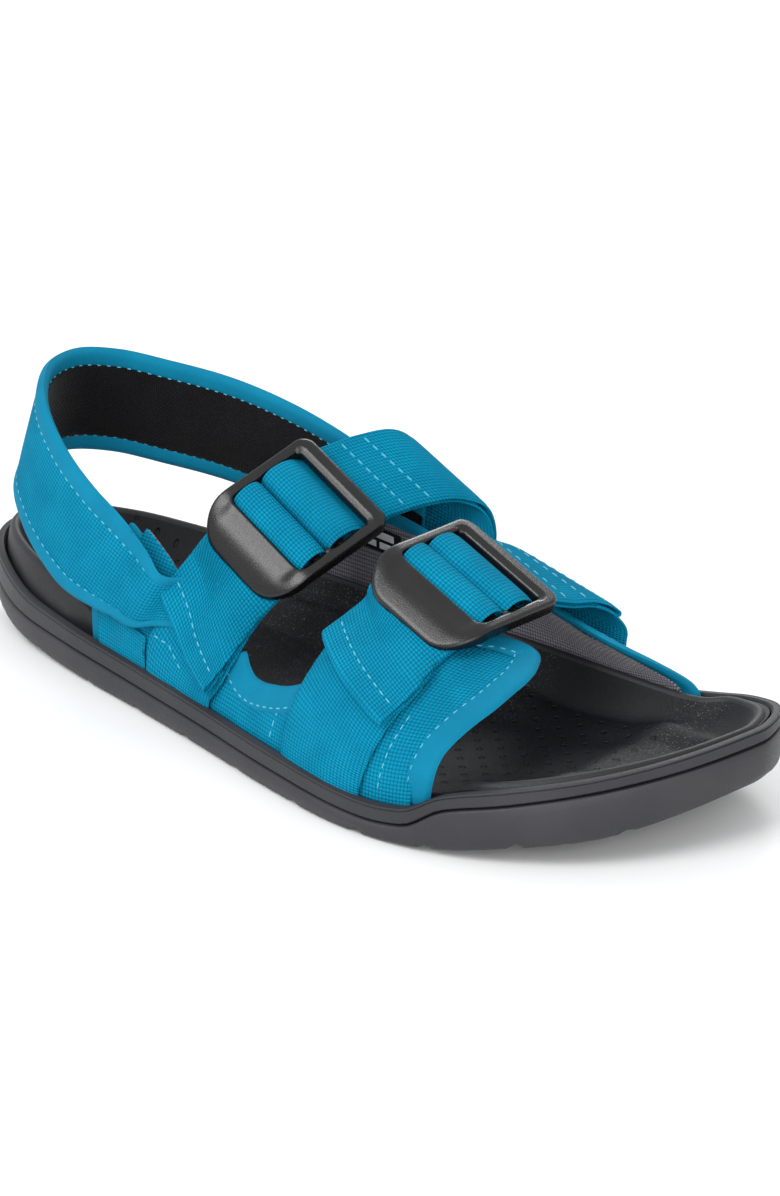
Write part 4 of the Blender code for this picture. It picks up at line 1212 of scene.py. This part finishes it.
def add_nub(verts, faces, which):
    """Half-round stop on the toe-side rail, between the two bars."""
    start, rings, sides = len(verts), 5, 14
    for r in range(rings + 1):
        lat = math.pi / 2 * r / rings
        for k in range(sides):
            a = 2 * math.pi * k / sides
            radius = 1.9 * math.cos(lat)
            verts.append(in_buckle(which, WINDOW_WIDTH / 2 + 0.3 - radius * max(math.cos(a), -0.2),
                                   4.6 + radius * math.sin(a), 0.9 + 1.2 * math.sin(lat)))
    faces += tube_faces(start, rings, sides) + [cap(start, sides)]


# ---------------------------------------------------------------- heel strap

ROLL_THICK = 3.6         # rolled bindings of the heel strap


def heel_pieces():
    """Canvas, padded lining, two rolled bindings and their stitches; they narrow and thin towards the fixed
    ends.
    """
    inner = HEEL_WIDTH - 2 * HEEL_BINDING
    edge = (HEEL_WIDTH - HEEL_BINDING) / 2
    count, cols = 190, 21

    path = ([(-27, -32.9, 33.0), (-31.5, -34.6, 33.2), (-37, -36.4, 33.2)] + HEEL_PATH
            + [(-18, 35.8, 51), (-7, 35.4, 47.5), (2, 35.2, 45.5)])
    wide = [(0.3, 0.6, 0.78), (0.32, 0.55, 0.8), (0.42, 0.42, 0.82)] + HEEL_WIDE + [(0.2, -0.06, 1)] * 3
    lateral_end = np.array([ease(r, 2, 36) for r in range(count)])
    medial_end = np.array([ease(count - 1 - r, 0, 26) for r in range(count)])
    slim = ((0.3 + 0.7 * lateral_end) * (0.4 + 0.6 * medial_end))[:, None]
    narrow = ((0.5 + 0.5 * lateral_end) * (0.7 + 0.3 * medial_end))[:, None, None]

    def band(width, shift=0.0, lift=0.0, across=cols):
        full = np.array(ribbon_grid(path, wide, width, count, across, shift, lift))
        spine = np.array(ribbon_grid(path, wide, 0.0, count, across))
        top = np.array(ribbon_grid(path, wide, 0.0, count, across, HEEL_WIDTH / 4))
        spine[:count // 2] = top[:count // 2]
        return spine + (full - spine) * narrow

    def bend(obj):
        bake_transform(obj)
        return obj

    canvas = band(inner + 1.4, 0.0, -1.0)
    crown = np.cos(np.linspace(-1, 1, cols) * math.pi / 2)
    outer = bend(cloth("heel_canvas", canvas, (1.2 + 0.5 * crown[None, :]) * (0.4 + 0.6 * slim), CANVAS))
    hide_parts("heel_strap")
    felt = band(inner + 1.6, 0.0, 1.0)
    puff = (1.3 + 2.4 * crown ** 0.6)[None, :] * slim
    pad = bend(cloth("heel_padding", felt, puff, FELT))
    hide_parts("heel_strap_lining")
    thread, inside = Stitches(), Stitches()
    for name, sign in (("heel_binding_upper", 1), ("heel_binding_lower", -1)):
        grid = band(HEEL_BINDING + 0.6, edge * sign, 0.0, TAPE_COLS)
        thick = ROLL_THICK * rounded(TAPE_COLS, 3.0, 0.35)[None, :] * slim
        roll = bend(cloth(name + "_roll", grid, thick, BINDING))
        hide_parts(name)
        share = 0.16 if sign > 0 else 0.84
        up = outward(grid)
        rows, where = np.linspace(0.05, 0.94, 260), np.full(260, share)
        points, lift = sample(grid, rows, where), sample(up, rows, where)
        half = (ROLL_THICK / 2 * 0.86) * np.interp(rows * (count - 1), np.arange(count), slim[:, 0])[:, None]
        thread.run(points + lift * half, lift)
        inside.run(points - lift * half, -lift)
    bend(thread.make("heel_outer_stitches", "binding"))
    bend(inside.make("heel_inner_stitches", "binding"))


def flap_pieces():
    lateral = refine(patch_grid([(0, -66), (1, -66)], [(0, -43), (1, -43)], INTO_SOLE,
                                [(0, 0.04), (1, 0.05)], TAB_LIFT - 0.4, False, 12, 4), 16, 40)
    put(cloth("heel_flap_lateral_cloth", lateral, 1.2, CANVAS), SOLE, "heel_flap_lateral")
    medial = refine(patch_grid([(0, -23), (1, -23)], [(0, -8), (1, -8)], [(0, 0.09), (1, 0.09)],
                               [(0, 0.205), (1, 0.195)], TAB_LIFT - 0.4, True, 8, 6), 24, 24)
    put(cloth("heel_flap_medial_cloth", medial, 1.2, CANVAS), SOLE, "heel_flap_medial")
    thread = Stitches()
    thread.on(medial, [0.12, 0.88, 0.88, 0.12, 0.12], [0.12, 0.12, 0.88, 0.88, 0.12], 0.65)
    put(thread.make("heel_flap_stitches", "canvas"), SOLE)


# ---------------------------------------------------------------- stage

def area_light(name, place, target, size, power, colour=(1, 1, 1)):
    light = bpy.data.lights.new(name, "AREA")
    light.shape = "SQUARE"
    light.size = size
    light.energy = power
    light.color = colour
    obj = bpy.data.objects.new(name, light)
    obj.location = place
    obj.rotation_euler = (Vector(target) - Vector(place)).to_track_quat("-Z", "Y").to_euler()
    bpy.context.scene.collection.objects.link(obj)


def stage():
    size = 6.0
    mesh = bpy.data.meshes.new("studio_floor")
    corners = [(-size, -size, 0), (size, -size, 0), (size, size, 0), (-size, size, 0)]
    mesh.from_pydata(corners, [], [(0, 1, 2, 3)])
    sh = Shader("studio_floor_white", 0.9, 0.0, 0.1)
    sh.colour((0.86, 0.86, 0.86, 1))
    mesh.materials.append(sh.mat)
    floor = bpy.data.objects.new("studio_floor", mesh)
    floor.location.z = -0.0003
    bpy.context.scene.collection.objects.link(floor)
    world = bpy.data.worlds.new("studio")
    world.use_nodes = True
    world.node_tree.nodes["Background"].inputs["Color"].default_value = (0.98, 0.99, 1.0, 1)
    world.node_tree.nodes["Background"].inputs["Strength"].default_value = 0.85
    bpy.context.scene.world = world
    bpy.context.scene.view_settings.view_transform = "Standard"
    area_light("key", (-0.1, -0.8, 0.9), (0, 0, 0.03), 0.6, 8.0)
    area_light("fill", (0.95, -0.75, 0.4), (0, 0, 0.03), 0.8, 6.5)
    area_light("back", (-0.5, 0.9, 0.8), (0, 0, 0.05), 0.5, 6.0)


AZIMUTH, ELEVATION, DISTANCE = math.radians(41.9), math.radians(22.55), 0.95
LENS, SHIFT = 96.05, (0.0441, 0.0175)


def camera():
    data = bpy.data.cameras.new("camera")
    data.sensor_fit = "AUTO"
    data.sensor_width = 36.0
    data.lens = LENS
    data.shift_x, data.shift_y = SHIFT
    data.clip_start, data.clip_end = 0.01, 20
    obj = bpy.data.objects.new("camera", data)
    away = Vector((math.sin(AZIMUTH) * math.cos(ELEVATION), -math.cos(AZIMUTH) * math.cos(ELEVATION),
                   math.sin(ELEVATION)))
    obj.location = Vector((0, SHIFT_Y * MM, 0.03)) + away * DISTANCE
    obj.rotation_euler = away.to_track_quat("Z", "Y").to_euler()
    bpy.context.scene.collection.objects.link(obj)
    bpy.context.scene.camera = obj


camera()
stage()
sole_pieces()
side_pieces("lateral", LAT_REAR, LAT_FRONT, LAT_TOP, False)
side_pieces("medial", MED_REAR, MED_FRONT, MED_TOP, True)
label_piece()
for which in BUCKLE:
    buckle_piece(which)
tab_piece("rear", -26, 32, (0.04, 0.08, 0.12, 0.16), 0.1, -6.7, 0.0033)
tab_piece("front", 42, 25, (0.04, 0.08, 0.13, 0.18, 0.23, 0.27), 0.19, -6.3, 0.0022)
strap_piece("rear", 18, ("rear_strap", "rear_strap_tail", "rear_strap_turn"))
strap_piece("front", 15, ("front_strap", "front_strap_tail", "front_strap_turn"))
heel_pieces()
flap_pieces()
